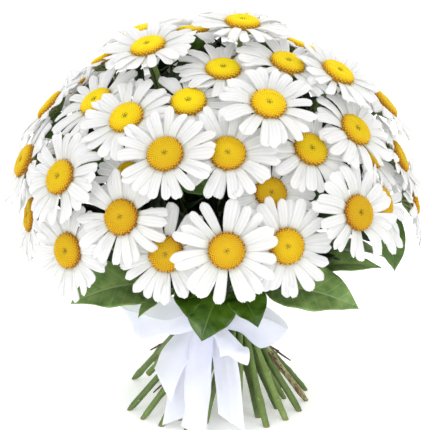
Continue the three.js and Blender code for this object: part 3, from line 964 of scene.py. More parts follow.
@dataclass
class Petals:
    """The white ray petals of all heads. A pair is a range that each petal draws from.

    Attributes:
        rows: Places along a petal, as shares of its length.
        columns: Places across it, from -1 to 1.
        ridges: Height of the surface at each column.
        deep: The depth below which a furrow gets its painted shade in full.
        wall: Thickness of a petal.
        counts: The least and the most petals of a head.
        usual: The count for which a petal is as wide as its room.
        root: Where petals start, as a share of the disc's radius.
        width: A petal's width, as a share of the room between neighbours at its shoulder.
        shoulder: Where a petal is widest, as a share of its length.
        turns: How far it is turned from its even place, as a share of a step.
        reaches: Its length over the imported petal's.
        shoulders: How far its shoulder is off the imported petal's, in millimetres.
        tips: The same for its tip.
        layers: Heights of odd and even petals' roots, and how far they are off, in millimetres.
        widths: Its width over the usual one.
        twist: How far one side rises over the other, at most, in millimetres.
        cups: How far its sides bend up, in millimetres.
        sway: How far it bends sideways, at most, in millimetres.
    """

    finish: Material
    rows: Row = (0.0, 0.22, 0.46, 0.7, 0.87, 0.955, 1.0)
    columns: Row = (-1.0, -0.66, -0.34, 0.0, 0.34, 0.66, 1.0)
    ridges: Row = tuple(h * MM for h in (-0.24, 0.32, -0.16, 0.26, -0.16, 0.32, -0.24))
    deep: float = 0.16 * MM
    wall: float = 0.36 * MM
    counts: tuple[int, int] = (20, 25)
    usual: float = 23.0
    root: float = 0.86
    width: float = 1.04
    shoulder: float = 0.72
    turns: float = 0.42
    reaches: Pair = (0.93, 1.045)
    shoulders: Pair = (-0.7, 0.8)
    tips: Pair = (-2.2, 1.6)
    layers: Triple = (0.6, -0.5, 0.2)
    widths: Pair = (0.84, 1.14)
    twist: float = 1.3
    cups: Pair = (-2.0, 0.6)
    sway: float = 2.4

    def form(self, shape: PetalForm) -> Object:
        """Makes one petal of unit length and width, as a shape to copy.

        Args:
            shape: Its outline.

        Returns:
            The shape.
        """
        tips, widths = (np.array(row) for row in shape.value)
        along, across = np.array(self.rows)[:, None], np.array(self.columns)[None]
        ridges = np.array(self.ridges)
        x = along * (1 - (1 - tips) * along**3)
        y = 0.5 * across * widths[:, None]
        # the ridges are low at the root and fade out at the tip
        z = ridges * np.sin(math.pi * np.clip(along * 0.9 + 0.08, 0, 1))
        # painted shade: this mask greys the furrows and the edges in the petal's finish
        furrow = np.clip(-ridges / self.deep, 0, 1) * (along > 0.1)
        surface = Surface().add(np.stack([x, y, z], axis=-1), along=along, across=across, furrow=furrow)
        return template(surface.mesh(f"petal_{shape.name.lower()}"))

    def slices(self, node: str, head: Head, index: int) -> Array:
        """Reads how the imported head's petals lie, so that the fine ones keep their form.

        Args:
            node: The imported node.
            head: Its place.
            index: Its number, from 0.

        Returns:
            For each slice its turn, reach, shoulder height and tip height, at full size.
        """
        back = np.array(head.matrix().inverted())
        local = (coordinates(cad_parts[node].data) @ back[:3, :3].T + back[:3, 3]) / head.size
        radius = np.hypot(local[:, 0], local[:, 1])
        angle = np.arctan2(local[:, 1], local[:, 0])
        phase = Draws(index + 1).between(0, 1)
        step = TURN / DOME.petal_slices
        rows = []
        for k in range(DOME.petal_slices):
            turn = (k + phase) * step
            off = np.abs((angle - turn + math.pi) % TURN - math.pi)
            # its points lie within half a step of its turn, and its middle line within a tenth
            mine = (off < step * 0.49) & (radius > DOME.disc_radius * 1.02)
            middle, sides = mine & (off < step * 0.1), mine & (off >= step * 0.1)
            rows.append((turn, radius[middle].max(), local[sides, 2].max(), local[middle, 2].max()))
        return np.array(rows)

    def ring(self, node: str, head: Head, index: int) -> Mesh:
        """Makes the points that a head's petals are copied onto.

        Args:
            node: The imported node.
            head: Its place.
            index: Its number, from 0.

        Returns:
            The points, in the head's own frame.
        """
        slices = self.slices(node, head, index)
        random = np.random.default_rng(index + 71)
        count = int(random.integers(self.counts[0], self.counts[1] + 1))
        draw = partial(random.uniform, size=count)
        turn = (np.arange(count) + draw(-self.turns, self.turns)) * TURN / count + slices[0, 0]
        reach, shoulder, tip = (np.interp(turn, slices[:, 0], row, period=TURN) for row in slices.T[1:])
        reach = reach * draw(*self.reaches)
        shoulder = shoulder + draw(*self.shoulders) * MM
        tip = tip + draw(*self.tips) * MM
        root = DOME.disc_radius * self.root
        room = TURN * (root + (DOME.head_radius - root) * self.shoulder) / self.usual
        upper, lower, play = self.layers
        layer = np.where(np.arange(count) % 2, upper, lower) * MM + draw(-play, play) * MM
        # a parabola from the root through the shoulder to the tip
        fall = (shoulder - self.shoulder * tip) / (self.shoulder**2 - self.shoulder)
        return points_mesh(
            np.stack([root * np.cos(turn), root * np.sin(turn), layer], axis=1),
            turn=turn, length=reach - root, width=room * self.width * draw(*self.widths),
            rise=tip - fall, fall=fall, twist=draw(-self.twist, self.twist) * MM,
            cup=draw(*self.cups) * MM, sway=draw(-self.sway, self.sway) * MM,
        )

    def build(self, heads: list[Head], nodes: list[str]) -> None:
        """Makes one piece of petals for each head.

        Args:
            heads: The heads.
            nodes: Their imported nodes.
        """
        tree = petal_ring_tree()
        toothed, rounded, narrow = (self.form(shape) for shape in PetalForm)
        values = {
            "Toothed petal": toothed, "Round petal": rounded, "Narrow petal": narrow, "Finish": self.finish,
        }
        for index, (head, node) in enumerate(zip(heads, nodes)):
            mesh = grow(self.ring(node, head, index), tree, {**values, "Seed": index}, self.wall)
            mesh.transform(head.matrix() @ Matrix.Scale(head.size, 4))
            keep_piece(f"{node}_rays", mesh, Slot.PETAL, [node], self.finish)


# ---- discs and the green cups under the heads ----


def add_head(planting: Planting, head: Head, spin: float) -> None:
    """Adds a head's place to what is planted, spun about the head's axis."""
    matrix = head.matrix()
    facing = (matrix.to_3x3() @ Matrix.Rotation(spin, 3, "Z")).to_euler("XYZ")
    planting.add(matrix.translation, facing, head.size)


@dataclass
class Discs:
    """The golden discs of tubular florets.

    Attributes:
        florets: How many florets a disc has.
        bud: Radius and height of a closed floret.
        closed: Radius and height of a closed floret's rings, as shares.
        opened: The same for an open one, with a hollow middle.
        sides: How many sides a floret has.
        height: The height that florets stand on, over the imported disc's.
        sunk: How far the cushion lies under that height.
        insets: How far the cushion and the florets stay inside the disc's rim.
        foot: Shares of the radius and heights of the rings below the cushion's rim.
        cushion_sides: How many sides the cushion has.
        variants: Seed and spread of each disc that is copied.
        groups: Names of the pieces, each with its share of the heads.
    """

    finish: Material
    florets: int = 260
    bud: Pair = (0.84 * MM, 1.0 * MM)
    closed: Pairs = ((0.8, -0.6), (1.0, 0.3), (0.62, 0.85))
    opened: Pairs = ((0.8, -0.6), (1.0, 0.4), (0.8, 0.9), (0.3, 0.7))
    sides: int = 5
    height: float = 0.86
    sunk: float = 0.25 * MM
    insets: Pair = (0.5 * MM, 0.55 * MM)
    foot: Pairs = ((0.9, -1.2 * MM), (1.0, -0.4 * MM))
    cushion_sides: int = 20
    variants: tuple[tuple[int, float], ...] = ((3, 0.18), (8, 0.3))
    groups: tuple[tuple[str, int], ...] = (
        ("discs_lower", 14), ("discs_middle", 13), ("discs_upper", 9), ("discs_back", 16),
    )

    def floret(self, name: str, profile: Pairs) -> Object:
        """Makes a floret to copy.

        Args:
            name: Its name.
            profile: Radius and height of its rings, as shares.

        Returns:
            The shape.
        """
        radius, height = (np.array(profile) * self.bud).T
        surface = Surface().add(rings(radius, height, self.sides), wrap=True, caps=True)
        return template(surface.mesh(name))

    def cushion(self) -> Mesh:
        """Makes the closed cushion that the florets stand on."""
        share, height = np.array(DISC_PROFILE[::-1]).T
        share, height = np.maximum(share, 0.02), height * DOME.disc_rise * self.height - self.sunk
        foot, level = np.array(self.foot).T
        radius = np.concatenate([foot, share]) * (DOME.disc_radius - self.insets[0])
        points = rings(radius, np.concatenate([level, height]), self.cushion_sides)
        # painted shade: it takes the darker colour of florets a little further out, so that it looks shaded
        # between the florets
        ring = np.clip(radius / DOME.disc_radius + 0.12, 0, 1.02)[:, None]
        return Surface().add(points, wrap=True, caps=True, ring=ring).mesh("disc_cushion")

    def build(self, heads: list[Head], nodes: list[str]) -> None:
        """Makes the discs, in one piece for each part of the bunch.

        Args:
            heads: The heads.
            nodes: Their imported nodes.
        """
        tree = floret_tree()
        values = {
            "Bud": self.floret("bud", self.closed), "Open floret": self.floret("open_floret", self.opened),
            "Florets": self.florets, "Radius": DOME.disc_radius - self.insets[1],
            "Height": DOME.disc_rise * self.height, "Finish": self.finish,
        }
        forms = [
            template(grow(self.cushion(), tree, {**values, "Seed": seed, "Spread": spread}))
            for seed, spread in self.variants
        ]
        random = np.random.default_rng(29)
        start = 0
        for name, count in self.groups:
            chosen = slice(start, start + count)
            start += count
            planting = Planting()
            for head in heads[chosen]:
                add_head(planting, head, random.uniform(*ANY_TURN))
            # the lower a head, the older its disc
            ages = [
                min(1, max(0, 1 - head.rise / 60 + random.uniform(-0.25, 0.25))) for head in heads[chosen]
            ]
            mesh = planting.plant(forms, self.finish, start, age=ages)
            keep_piece(name, mesh, Slot.DISC, nodes[chosen], self.finish)


@dataclass
class Cups:
    """The green cups under the heads: a fleshy base covered by two rows of bracts.

    Attributes:
        profile: Radius and height of the base, from the stem up, in millimetres.
        rows: Each row's count of bracts, with their foot's radius and height, their lean and their length.
        bract: Places along a bract with its half widths, as shares.
        width: A bract's width, as a share of its length.
        sunk: How far a bract's foot is sunk into the base, in millimetres.
        sides: How many sides the base has.
        spin: How far each cup is turned on from the last.
    """

    finish: Material
    profile: Pairs = (
        (1.9, -7.2), (3.0, -6.4), (6.0, -4.9), (9.4, -3.2), (11.9, -1.7), (12.6, -0.9), (11.0, -0.5),
    )
    rows: tuple[tuple[int, float, float, float, float], ...] = (
        (15, 3.0, -6.5, 0.50, 8.4), (17, 6.6, -4.6, 0.46, 7.6),
    )
    bract: Pairs = ((0.0, 0.5), (0.3, 0.95), (0.6, 1.0), (0.85, 0.7), (1.0, 0.12))
    width: float = 2.9 / 8
    sunk: float = 0.3
    sides: int = 16
    spin: float = 0.7

    def bract_form(self) -> Object:
        """Makes one bract, of unit length, as a shape to copy."""
        along, half = np.array(self.bract).T[..., None]
        across = np.array([-1.0, 0.0, 1.0])[None]
        y = 0.5 * self.width * half * across
        # its middle stands out, and its tip bends out
        z = 0.035 * (1 - across**2) + 0.05 * along**2
        points = np.stack([along + 0 * across, y, z], axis=-1)
        surface = Surface().add(points, tone=0.25 + 0.25 * (1 - np.abs(across)), reach=1)
        return template(surface.mesh("bract", wall=0.06))

    def build(self, heads: list[Head], nodes: list[str]) -> None:
        """Makes all cups in one piece.

        Args:
            heads: The heads.
            nodes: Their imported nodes.
        """
        radius, level = np.array(self.profile).T * MM
        base = Surface().add(rings(radius, level, self.sides), wrap=True, caps=True, tone=0.45, reach=1)
        bracts = Planting()
        for row, (count, foot, height, lean, length) in enumerate(self.rows):
            for k in range(count):
                turn = TURN * (k + 0.5 * row) / count
                place = (foot * MM * math.cos(turn), foot * MM * math.sin(turn), (height - self.sunk) * MM)
                bracts.add(place, (math.pi, -lean, turn), length * MM)
        scales = bracts.plant([self.bract_form()], self.finish, 5, 0.1)
        cup = template(join_meshes("cup", base.mesh("cup_base"), scales))
        cups = Planting()
        for i, head in enumerate(heads):
            add_head(cups, head, self.spin * i)
        keep_piece("green_cups", cups.plant([cup], self.finish, 5), Slot.STEM, nodes, self.finish)


def join_meshes(name: str, mesh: Mesh, extra: Mesh) -> Mesh:
    """Puts two meshes together as one, with the point values that they share.

    Args:
        name: The new mesh's name.
        mesh: The first.
        extra: The second.

    Returns:
        The new mesh.
    """
    tree, add, inputs = new_tree("join", {"Other": "Object", "Finish": "Material"})
    other = add("GeometryNodeObjectInfo", {"Object": inputs["Other"]}, "Geometry")
    both = add("GeometryNodeJoinGeometry", [[inputs["Geometry"], other]])
    close_tree(tree, both, inputs["Finish"])
    joined = grow(mesh, tree, {"Other": template(extra)})
    joined.name = name
    return joined


# ---- stems ----


@dataclass(frozen=True)
class StemRing:
    """A ring of stems at the tie, in millimetres."""

    count: int
    tie_radius: float
    foot_radius: float


@dataclass
class Stems:
    """The spiralled stems, tied at the waist and cut level at the foot. A pair is a range to draw from.

    Attributes:
        rings: The rings at the tie, from outside in.
        radius: A stem's radius at the tie, in millimetres.
        swing: Degrees that a stem turns on round the axis above the tie.
        straight: How far above the tie a stem is straight.
        neck: How far below its head a stem points along the head's axis.
        gap: The gap between a stem and its head.
        short_share: The share of stems that are cut short.
        short_ends: Between which heights they end.
        taper: A stem's radius at the points of its route, over that at the tie.
        ridges: How many sides and ridges a stem's section has, and the ridges' depth as a share.
        tones: Tones of a stem's skin, each with its share of the stems.
        waves: Height in millimetres and length of a stem's slight waves.
        knots: How high its first leaf scar sits, where the last may be, and the step between two.
        kinks: How far a stem bends at a scar, in millimetres.
        girths: Its girth over the usual one.
        swelling: How much thicker it is at a scar, and over which length.
        below_tie: How far under the tie the stubs end.
        stub: The points of a stub with its radii, in millimetres.
        stub_reach: How far each is from a cut, in millimetres.
        twig_share: The share of outer stems that keep a dry twig.
        twig_reach: How far from the axis such a stem is.
        twig_shape: A twig's points outwards, downwards and sideways from the stem.
        twig_radii: Its radii.
        twig_heights: How high it grows.
        twig_sizes: How large it is.
        twig_floor: How low it may hang.
        fork: How far its fork reaches outwards, sideways and downwards.
        fork_radii: The fork's radii.
        routes: The stems' routes, once they are made.
    """

    finish: Material
    bark: Material
    rings: tuple[StemRing, ...] = (
        StemRing(22, 18.8, 71), StemRing(16, 13.6, 54), StemRing(10, 8.2, 36), StemRing(4, 3.2, 15),
    )
    radius: float = 2.3
    swing: float = 62
    straight: float = 20
    neck: float = 30
    gap: float = 0.35
    short_share: float = 0.3
    short_ends: Pair = (10, 44)
    taper: Row = (1.05, 1.0, 1.0, 0.9, 0.8, 0.72)
    ridges: tuple[int, float, float] = (14, 7.0, 0.06)
    tones: Pairs = ((0.02, 0.28), (0.12, 0.36), (0.24, 0.28), (0.62, 0.08))
    waves: tuple[float, Pair] = (0.3, (45 * MM, 75 * MM))
    knots: tuple[Pair, float, Pair] = ((8, 30), 100, (22, 36))
    kinks: Pair = (-1.2, 1.2)
    girths: Pair = (0.86, 1.06)
    swelling: Pair = (0.26, 1.5 * MM)
    below_tie: float = 16
    stub: tuple[Row, ...] = (
        (-1.2, 0, -0.4, 1.2), (0, 0, 0.2, 1.25), (1.4, 0, 0.9, 0.8), (2.6, 0, 1.9, 0.5),
    )
    stub_reach: Row = (9, 9, 2, 0.5)
    twig_share: float = 0.4
    twig_reach: float = 36
    twig_shape: tuple[Triple, ...] = ((0.5, 0, 0), (3.5, 5, 1), (4.5, 11, 3), (7, 18, 4))
    twig_radii: Row = (1.0, 0.8, 0.8, 0.5)
    twig_heights: Pair = (22, 50)
    twig_sizes: Pair = (0.7, 1.15)
    twig_floor: float = 1.2
    fork: Triple = (3, -2.5, 2.5)
    fork_radii: Pair = (0.6, 0.35)
    routes: list[Array] = field(default_factory=list)

    def line(self, ring: StemRing, bearing: float, height: float) -> Array:
        """Gives the point at a height of a straight stem that passes the tie at a bearing."""
        lean = math.sqrt(ring.foot_radius**2 - ring.tie_radius**2) / TIE_HEIGHT
        waist = from_bearing(bearing, ring.tie_radius, height)
        return waist + from_bearing(bearing + 90, lean * (height - TIE_HEIGHT), 0)

    def assign(self, heads: list[Head]) -> dict[Head, tuple[StemRing, float]]:
        """Deals the heads to the rings: the lowest take the outer one, and each ring follows the bearing.

        Args:
            heads: The heads.

        Returns:
            Each head's ring and its bearing at the tie.
        """
        order = sorted(heads, key=lambda head: (head.rise, head.bearing))
        dealt = {}
        for ring in self.rings:
            group = sorted(order[: ring.count], key=lambda head: head.bearing % 360)
            order = order[ring.count :]
            step = 360 / ring.count
            lag = sum(head.bearing % 360 - i * step for i, head in enumerate(group)) / ring.count
            dealt.update({head: (ring, i * step + lag - self.swing) for i, head in enumerate(group)})
        return dealt

    def route(self, head: Head, ring: StemRing, bearing: float, index: int) -> tuple[Array, bool]:
        """Gives a stem's route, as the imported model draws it.

        Args:
            head: The head that it carries.
            ring: Its ring.
            bearing: Its bearing at the tie.
            index: The head's number, from 0.

        Returns:
            The points of the route from foot to head, and whether the stem reaches the ground.
        """
        draws = Draws(500 + index)
        short = draws.between(0, 1) < self.short_share
        foot = draws.between(*self.short_ends) if short else 0
        matrix = head.matrix()
        axis, centre = np.array(matrix.col[2][:3]), np.array(matrix.translation) / MM
        end = centre - axis * (DOME.calyx_depth / MM * head.size + self.gap)
        neck = centre - axis * (DOME.calyx_depth / MM * head.size + self.neck)
        before, leaving, onward = (
            self.line(ring, bearing, TIE_HEIGHT + share * self.straight) for share in (0.5, 1, 2.5)
        )
        # half way up, a stem still leans a little towards where its straight line went
        bend = (leaving + neck) / 2 * 0.78 + onward * 0.22
        return np.array([self.line(ring, bearing, foot), before, leaving, bend, neck, end]) * MM, not short

    def roughen(
        self, smooth: Array, stubs: Planting, random: np.random.Generator,
    ) -> tuple[Array, Array, Array]:
        """Gives a stem its slight waves, and a kink, a swelling and a stub at each leaf scar.

        Args:
            smooth: The points of its smooth route, with their radii.
            stubs: What gets the stubs' places.
            random: What it is drawn with.

        Returns:
            The route, its radii, and how far along it each point lies.
        """
        path, thick, waist = smooth[:, :3], smooth[:, 3], TIE_HEIGHT * MM
        reach = travelled(path)
        below = np.clip((waist - path[:, 2]) / waist, 0, 1)[:, None]
        aside = unit(np.cross(along_path(path), (0, 0, 1)))
        height, lengths = self.waves
        wave = np.sin(reach * TURN / random.uniform(*lengths) + random.uniform(*ANY_PHASE))[:, None]
        first, last, steps = self.knots
        knots = np.arange(random.uniform(*first), last, random.uniform(*steps)) * MM
        kinks = np.interp(reach, knots, random.uniform(*self.kinks, len(knots)) * MM)[:, None]
        path = path + aside * (wave * height * MM + kinks) * below
        thick = thick * random.uniform(*self.girths)
        more, length = self.swelling
        for knot in knots:
            thick = thick * (1 + more * np.exp(-(((reach - knot) / length) ** 2)))
            at = int(np.argmin(np.abs(reach - knot)))
            if path[at, 2] >= waist - self.below_tie * MM:
                continue
            # a stub leans forward from any side of the stem, with its foot sunk into it
            forward = Vector(along_path(path)[at])
            spun = Matrix.Rotation(random.uniform(0, TURN), 3, "X")
            turned = forward.to_track_quat("X", "Z").to_matrix() @ spun
            out = turned @ Vector((0.25, 0, 1)).normalized()
            facing = (turned @ Matrix.Rotation(-0.5, 3, "Y")).to_euler("XYZ")
            stubs.add(Vector(path[at]) + out * thick[at] * 0.8, facing)
        return path, thick, reach

    def build(self, heads: list[Head]) -> None:
        """Makes the stems, the stubs of their lower leaves and the dry twigs among them.

        Args:
            heads: The heads that they carry.
        """
        dealt = self.assign(heads)
        rows, edges, stubs = [], [], Planting()
        random = np.random.default_rng(17)
        tones, shares = zip(*self.tones)
        for index, head in enumerate(heads):
            stops, level = self.route(head, *dealt[head], index)
            smooth = through(np.column_stack([stops, np.array(self.taper) * self.radius * MM]), 24)
            path, thick, reach = self.roughen(smooth, stubs, random)
            tone = np.full(len(path), random.choice(tones, p=shares))
            foot = np.where(np.arange(len(path)) == 0, float(level), 0.0)
            start = sum(len(block) for block in rows)
            edges += [(start + i, start + i + 1) for i in range(len(path) - 1)]
            rows.append(np.column_stack([path, thick, tone, reach, foot]))
            self.routes.append(path)
        table = np.vstack(rows)
        thick, tone, reach, foot = table.T[3:]
        points = points_mesh(table[:, :3], edges, thickness=thick, tone=tone, reach=reach, foot=foot)
        sides, ridges, depth = self.ridges
        values = {"Sides": sides, "Ridges": ridges, "Ridge depth": depth, "Finish": self.finish}
        mesh = grow(points, stalk_tree(), values)
        self.level(mesh)
        keep_piece("stems", mesh, Slot.STEM, ["stems"], self.finish)
        form = Surface()
        shape = np.array(self.stub) * MM
        form.tube(shape[:, :3], shape[:, 3], 6, tone=0.3, reach=np.array(self.stub_reach) * MM)
        mesh = stubs.plant([template(form.mesh("stub"))], self.finish, 4, 0.4)
        keep_piece("stem_stubs", mesh, Slot.STEM, ["stems"], self.finish)
        self.add_twigs(random)

    def level(self, mesh: Mesh) -> None:
        """Cuts the feet that reach the ground level with it."""
        foot = np.zeros(len(mesh.vertices), np.float32)
        mesh.attributes["foot"].data.foreach_get("value", foot)
        points = coordinates(mesh)
        points[foot > 0.5, 2] = 0
        points[:, 2] = np.maximum(points[:, 2], 0)
        mesh.vertices.foreach_set("co", points.ravel())

    def add_twigs(self, random: np.random.Generator) -> None:
        """Makes the dry forked side shoots that are left on a few outer stems.

        Args:
            random: What their places are drawn with.
        """
        surface = Surface()
        for path in self.routes:
            at = int(np.argmin(np.abs(path[:, 2] - random.uniform(*self.twig_heights) * MM)))
            start, size = path[at] / MM, random.uniform(*self.twig_sizes)
            if np.hypot(*start[:2]) < self.twig_reach or random.uniform(0, 1) > self.twig_share:
                continue
            out, down = unit(np.array([start[0], start[1], 0])), -along_path(path)[at]
            aside = np.cross(out, down) * random.choice([-1, 1])
            stops = [start + (a * out + b * down + c * aside) * size for a, b, c in self.twig_shape]
            stops = np.array([(x, y, max(z, self.twig_floor)) for x, y, z in stops])
            main = through(np.column_stack([stops, self.twig_radii]), 5) * MM
            surface.tube(main[:, :3], main[:, 3], 6)
            a, b, c = self.fork
            fork = np.array([stops[1], stops[1] + (a * out + b * aside + c * down) * size]) * MM
            surface.tube(fork, np.array(self.fork_radii) * MM, 5)
        keep_piece("dry_twigs", surface.mesh("twigs"), Slot.STEM, ["stems"], self.bark)


# ---- leaves ----


@dataclass(frozen=True)
class Leaf:
    """A collar leaf in millimetres: its base and tip, width, how high it arches and which way it faces."""

    base: Triple
    tip: Triple
    width: float
    arch: float
    face: Triple = (0, 0, 1)


# radius and height of the base of a leaf of the back, and how high it arches, in millimetres
COLLAR_BASE = (43, 98)
COLLAR_ARCH = 8


def collar_leaf(bearing: float, tip_radius: float, tip_height: float, width: float) -> Leaf:
    """Gives a leaf of the back, by its bearing."""
    base, tip = from_bearing(bearing, *COLLAR_BASE), from_bearing(bearing, tip_radius, tip_height)
    return Leaf(tuple(base), tuple(tip), width, COLLAR_ARCH)


LEAF_GROUPS = {
    "leaves_front": (
        Leaf((-18, -45, 101), (-20, -71, 93), 22, 3),
        Leaf((4, -47, 103), (-10, -72, 74), 38, 5, (0, -0.5, 0.8)),
        Leaf((16, -46, 102), (31, -74, 86), 30, 5, (0, -0.4, 0.9)),
    ),
    "leaves_left": (
        Leaf((-30, -38, 98), (-55, -82, 97), 14, 4),
        Leaf((-39, -31, 101), (-104, -66, 101), 48, 9, (-0.2, -0.6, 0.75)),
        Leaf((-44, -4, 100), (-122, -14, 108), 36, 8, (0, -0.2, 0.95)),
    ),
    "leaves_right": (
        Leaf((36, -35, 101), (104, -66, 97), 44, 9, (0.15, -0.6, 0.75)),
        Leaf((44, -16, 103), (122, -38, 119), 28, 6, (0.1, -0.35, 0.9)),
        Leaf((45, 6, 99), (132, 2, 112), 38, 12),
    ),
    "leaves_back_right": (collar_leaf(126, 122, 102, 40), collar_leaf(153, 122, 98, 40)),
    "leaves_back_left": (
        collar_leaf(188, 122, 100, 40), collar_leaf(215, 122, 104, 38), collar_leaf(243, 120, 108, 34),
    ),
}

# leaves on the upper stems: the base is only where the nearest stem is looked for
GAP_LEAVES = (
    Leaf((118, -14, 158), (134, -28, 112), 27, 4, (0.5, -0.9, 0.2)),
    Leaf((-100, 5, 215), (-137, -6, 213), 20, 3, (-0.4, -0.8, 0.5)),
    Leaf((-95, -40, 208), (-121, -52, 207), 17, 3, (-0.5, -0.7, 0.5)),
    Leaf((-75, -58, 205), (-100, -80, 203), 20, 3, (-0.4, -0.8, 0.4)),
    Leaf((58, -72, 186), (82, -103, 182), 17, 3, (0.3, -0.9, 0.3)),
    Leaf((-100, -50, 160), (-128, -62, 152), 18, 3, (-0.5, -0.7, 0.3)),
    Leaf((-12, -95, 205), (6, -124, 203), 18, 3, (0, -0.8, 0.5)),
    Leaf((20, -90, 215), (38, -118, 200), 18, 3, (0.2, -0.8, 0.5)),
    Leaf((-6, 6, 248), (-14, -4, 286), 27, 3, (0, -0.9, 0.3)),
)


@dataclass
class Leaves:
    """The broad collar leaves and the small leaves on the stems inside the dome, which are painted near-black
    green for the shade there.

    Attributes:
        outline: Half widths along a collar leaf, as shares of its width.
        fold: How steeply a leaf's halves fold up.
        wall: A leaf's thickness.
        grooves: Depth in millimetres and half width of the groove over a side vein and over the midrib.
        waves: Height in millimetres and count of the waves along a leaf's edge, for the usual width.
        usual_width: That width, in millimetres.
        curl: How far a leaf's tip curls down, in millimetres.
        root: Radius and height where a group's stalks meet, in millimetres.
        stalk_radii: A stalk's radii from there into its blade, in millimetres.
        stalk_sag: How far a stalk sags, in millimetres.
        stalk_end: How far along its blade a stalk ends, as a share, and how high, in millimetres.
        rows: How many points lie along a blade.
        columns: How many lie across it.
        inner_per_stem: How many small leaves each stem may carry.
        inner_span: Between which shares of the stem they grow.
        inner_shifts: How far one is off its even place.
        inner_end: The share of the stem where the last one may grow.
        inner_length: Their length.
        inner_wall: Their thickness.
        inner_outline: Half widths along one, as shares of its width.
        inner_kinds: Name, width and droop of each kind, as shares of the length.
        inner_sizes: Sizes along the stem.
        inner_scales: A leaf's size over those.
        inner_leans: Between which turns one leans out from the stem: low down, and under the heads.
        inner_turn: The share of the stem from which it leans as under the heads.
        inner_reach: How far out in the dome their tips may be, as a share of its radius.
        inner_floor: How low their tips may be.
    """

    finish: Material
    painted_lit_finish: Material
    inner_shade_finish: Material
    outline: Pairs = (
        (0.0, 0.03), (0.07, 0.17), (0.16, 0.3), (0.28, 0.43), (0.42, 0.5), (0.57, 0.475), (0.72, 0.38),
        (0.85, 0.24), (0.94, 0.1), (1.0, 0.0),
    )
    fold: float = 0.22
    wall: float = 0.6 * MM
    grooves: Pairs = ((0.5, 0.16), (0.55, 0.07))
    waves: Pairs = ((0.9, 2.3), (0.5, 4.1))
    usual_width: float = 40
    curl: float = 1.6
    root: Pair = (33.5, 91)
    stalk_radii: Row = (1.9, 1.6, 1.3, 0.9)
    stalk_sag: float = 1.2
    stalk_end: Pair = (0.14, 0.4)
    rows: int = 72
    columns: int = 17
    inner_per_stem: int = 26
    inner_span: Pair = (0.38, 0.93)
    inner_shifts: Pair = (-0.03, 0.03)
    inner_end: float = 0.95
    inner_length: float = 40 * MM
    inner_wall: float = 0.5 * MM
    inner_outline: Pairs = (
        (0, 0.05), (0.12, 0.12), (0.3, 0.36), (0.5, 0.5), (0.7, 0.46), (0.87, 0.28), (1, 0.02),
    )
    inner_kinds: tuple[tuple[str, float, float], ...] = (
        ("inner_broad", 0.42, 0.3), ("inner_slim", 0.28, 0.12),
    )
    inner_sizes: Pairs = ((0.42, 1.1), (0.6, 1.5), (0.8, 1.1), (0.93, 0.85))
    inner_scales: Pair = (0.75, 1.0)
    inner_leans: Pairs = ((0.55, 1.05), (1.05, 1.4))
    inner_turn: float = 0.8
    inner_reach: float = 0.93
    inner_floor: float = 110 * MM

    def blade(self, surface: Surface, leaf: Leaf, seed: int) -> None:
        """Adds a leaf's blade, with its arch, wavy edge and sunken veins.

        Args:
            surface: The mesh that gets it.
            leaf: Its place and size.
            seed: What its waves are drawn with.
        """
        random = np.random.default_rng(seed)
        base, tip, face = (np.array(point, float) for point in (leaf.base, leaf.tip, leaf.face))
        forward = tip - base
        side = unit(np.cross(forward, face))
        lift = unit(np.cross(side, forward))
        along, across = np.linspace(0, 1, self.rows)[:, None], np.linspace(-1, 1, self.columns)[None]
        smooth = through(np.array(self.outline), 6)
        half = np.interp(along, smooth[:, 0], smooth[:, 1]) * leaf.width
        beside = np.abs(across)
        off = beside * half / np.linalg.norm(forward)
        place = (along - off * LEAF_VEIN_LEAN) * LEAF_VEINS
        (shallow, narrow), (deep, rib) = self.grooves
        vein = np.exp(-(((place + 1) % 2 - 1) / narrow) ** 2)
        # the side veins deepen from the midrib outwards
        relief = -shallow * vein * beside * (1 - beside * 0.4) - deep * np.exp(-((beside / rib) ** 2))
        waves = sum(
            amount * np.sin(TURN * (along * turns + random.uniform(0, 1)) + across * random.uniform(-1, 1))
            for amount, turns in self.waves
        ) * beside**1.5 * leaf.width / self.usual_width
        arch = leaf.arch * 4 * along * (1 - along)
        height = arch + half * beside * self.fold + relief + waves - self.curl * along**6
        points = base + forward * along[..., None] + side * (half * across)[..., None]
        points = points + lift * height[..., None]
        surface.add(points * MM, along=along, across=across, off_midrib=off)

    def build_collar(self) -> None:
        """Makes the collar leaves, one piece for each group."""
        for number, (name, leaves) in enumerate(LEAF_GROUPS.items()):
            blades, stalks = Surface(), Surface()
            middle = sum(np.array(leaf.base, float) for leaf in leaves)
            root = np.array([*(unit(middle[:2]) * self.root[0]), self.root[1]])
            for k, leaf in enumerate(leaves):
                self.blade(blades, leaf, 10 * number + k)
                base, tip = np.array(leaf.base, float), np.array(leaf.tip, float)
                share, rise = self.stalk_end
                into = base + (tip - base) * share + (0, 0, rise)
                stops = [root, (root + base) / 2 - (0, 0, self.stalk_sag), base, into]
                path = through(np.column_stack([stops, self.stalk_radii]), 6) * MM
                stalks.tube(path[:, :3], path[:, 3], 8, along=0.06, across=0.03, off_midrib=0)
            # painted light: all but the front leaves take the paler copy of the leaf skin, as if they lay in
            # full light
            finish = self.finish if name == "leaves_front" else self.painted_lit_finish
            keep_piece(f"{name}_blades", blades.mesh(name, self.wall), Slot.LEAF, [name], finish)
            keep_piece(f"{name}_stalks", stalks.mesh(name), Slot.LEAF, [name], finish)

    def build_gap_leaves(self, routes: list[Array]) -> None:
        """Makes the dark leaves that show in the wider gaps between heads, each grown from the nearest stem.

        Args:
            routes: The stems' routes.
        """
        points = np.vstack(routes) / MM
        surface = Surface()
        for number, leaf in enumerate(GAP_LEAVES):
            base = points[np.argmin(np.linalg.norm(points - leaf.base, axis=1))]
            self.blade(surface, replace(leaf, base=tuple(base)), 60 + number)
        keep_piece("gap_leaves", surface.mesh("gap_leaves", self.wall), Slot.LEAF, [], self.finish)

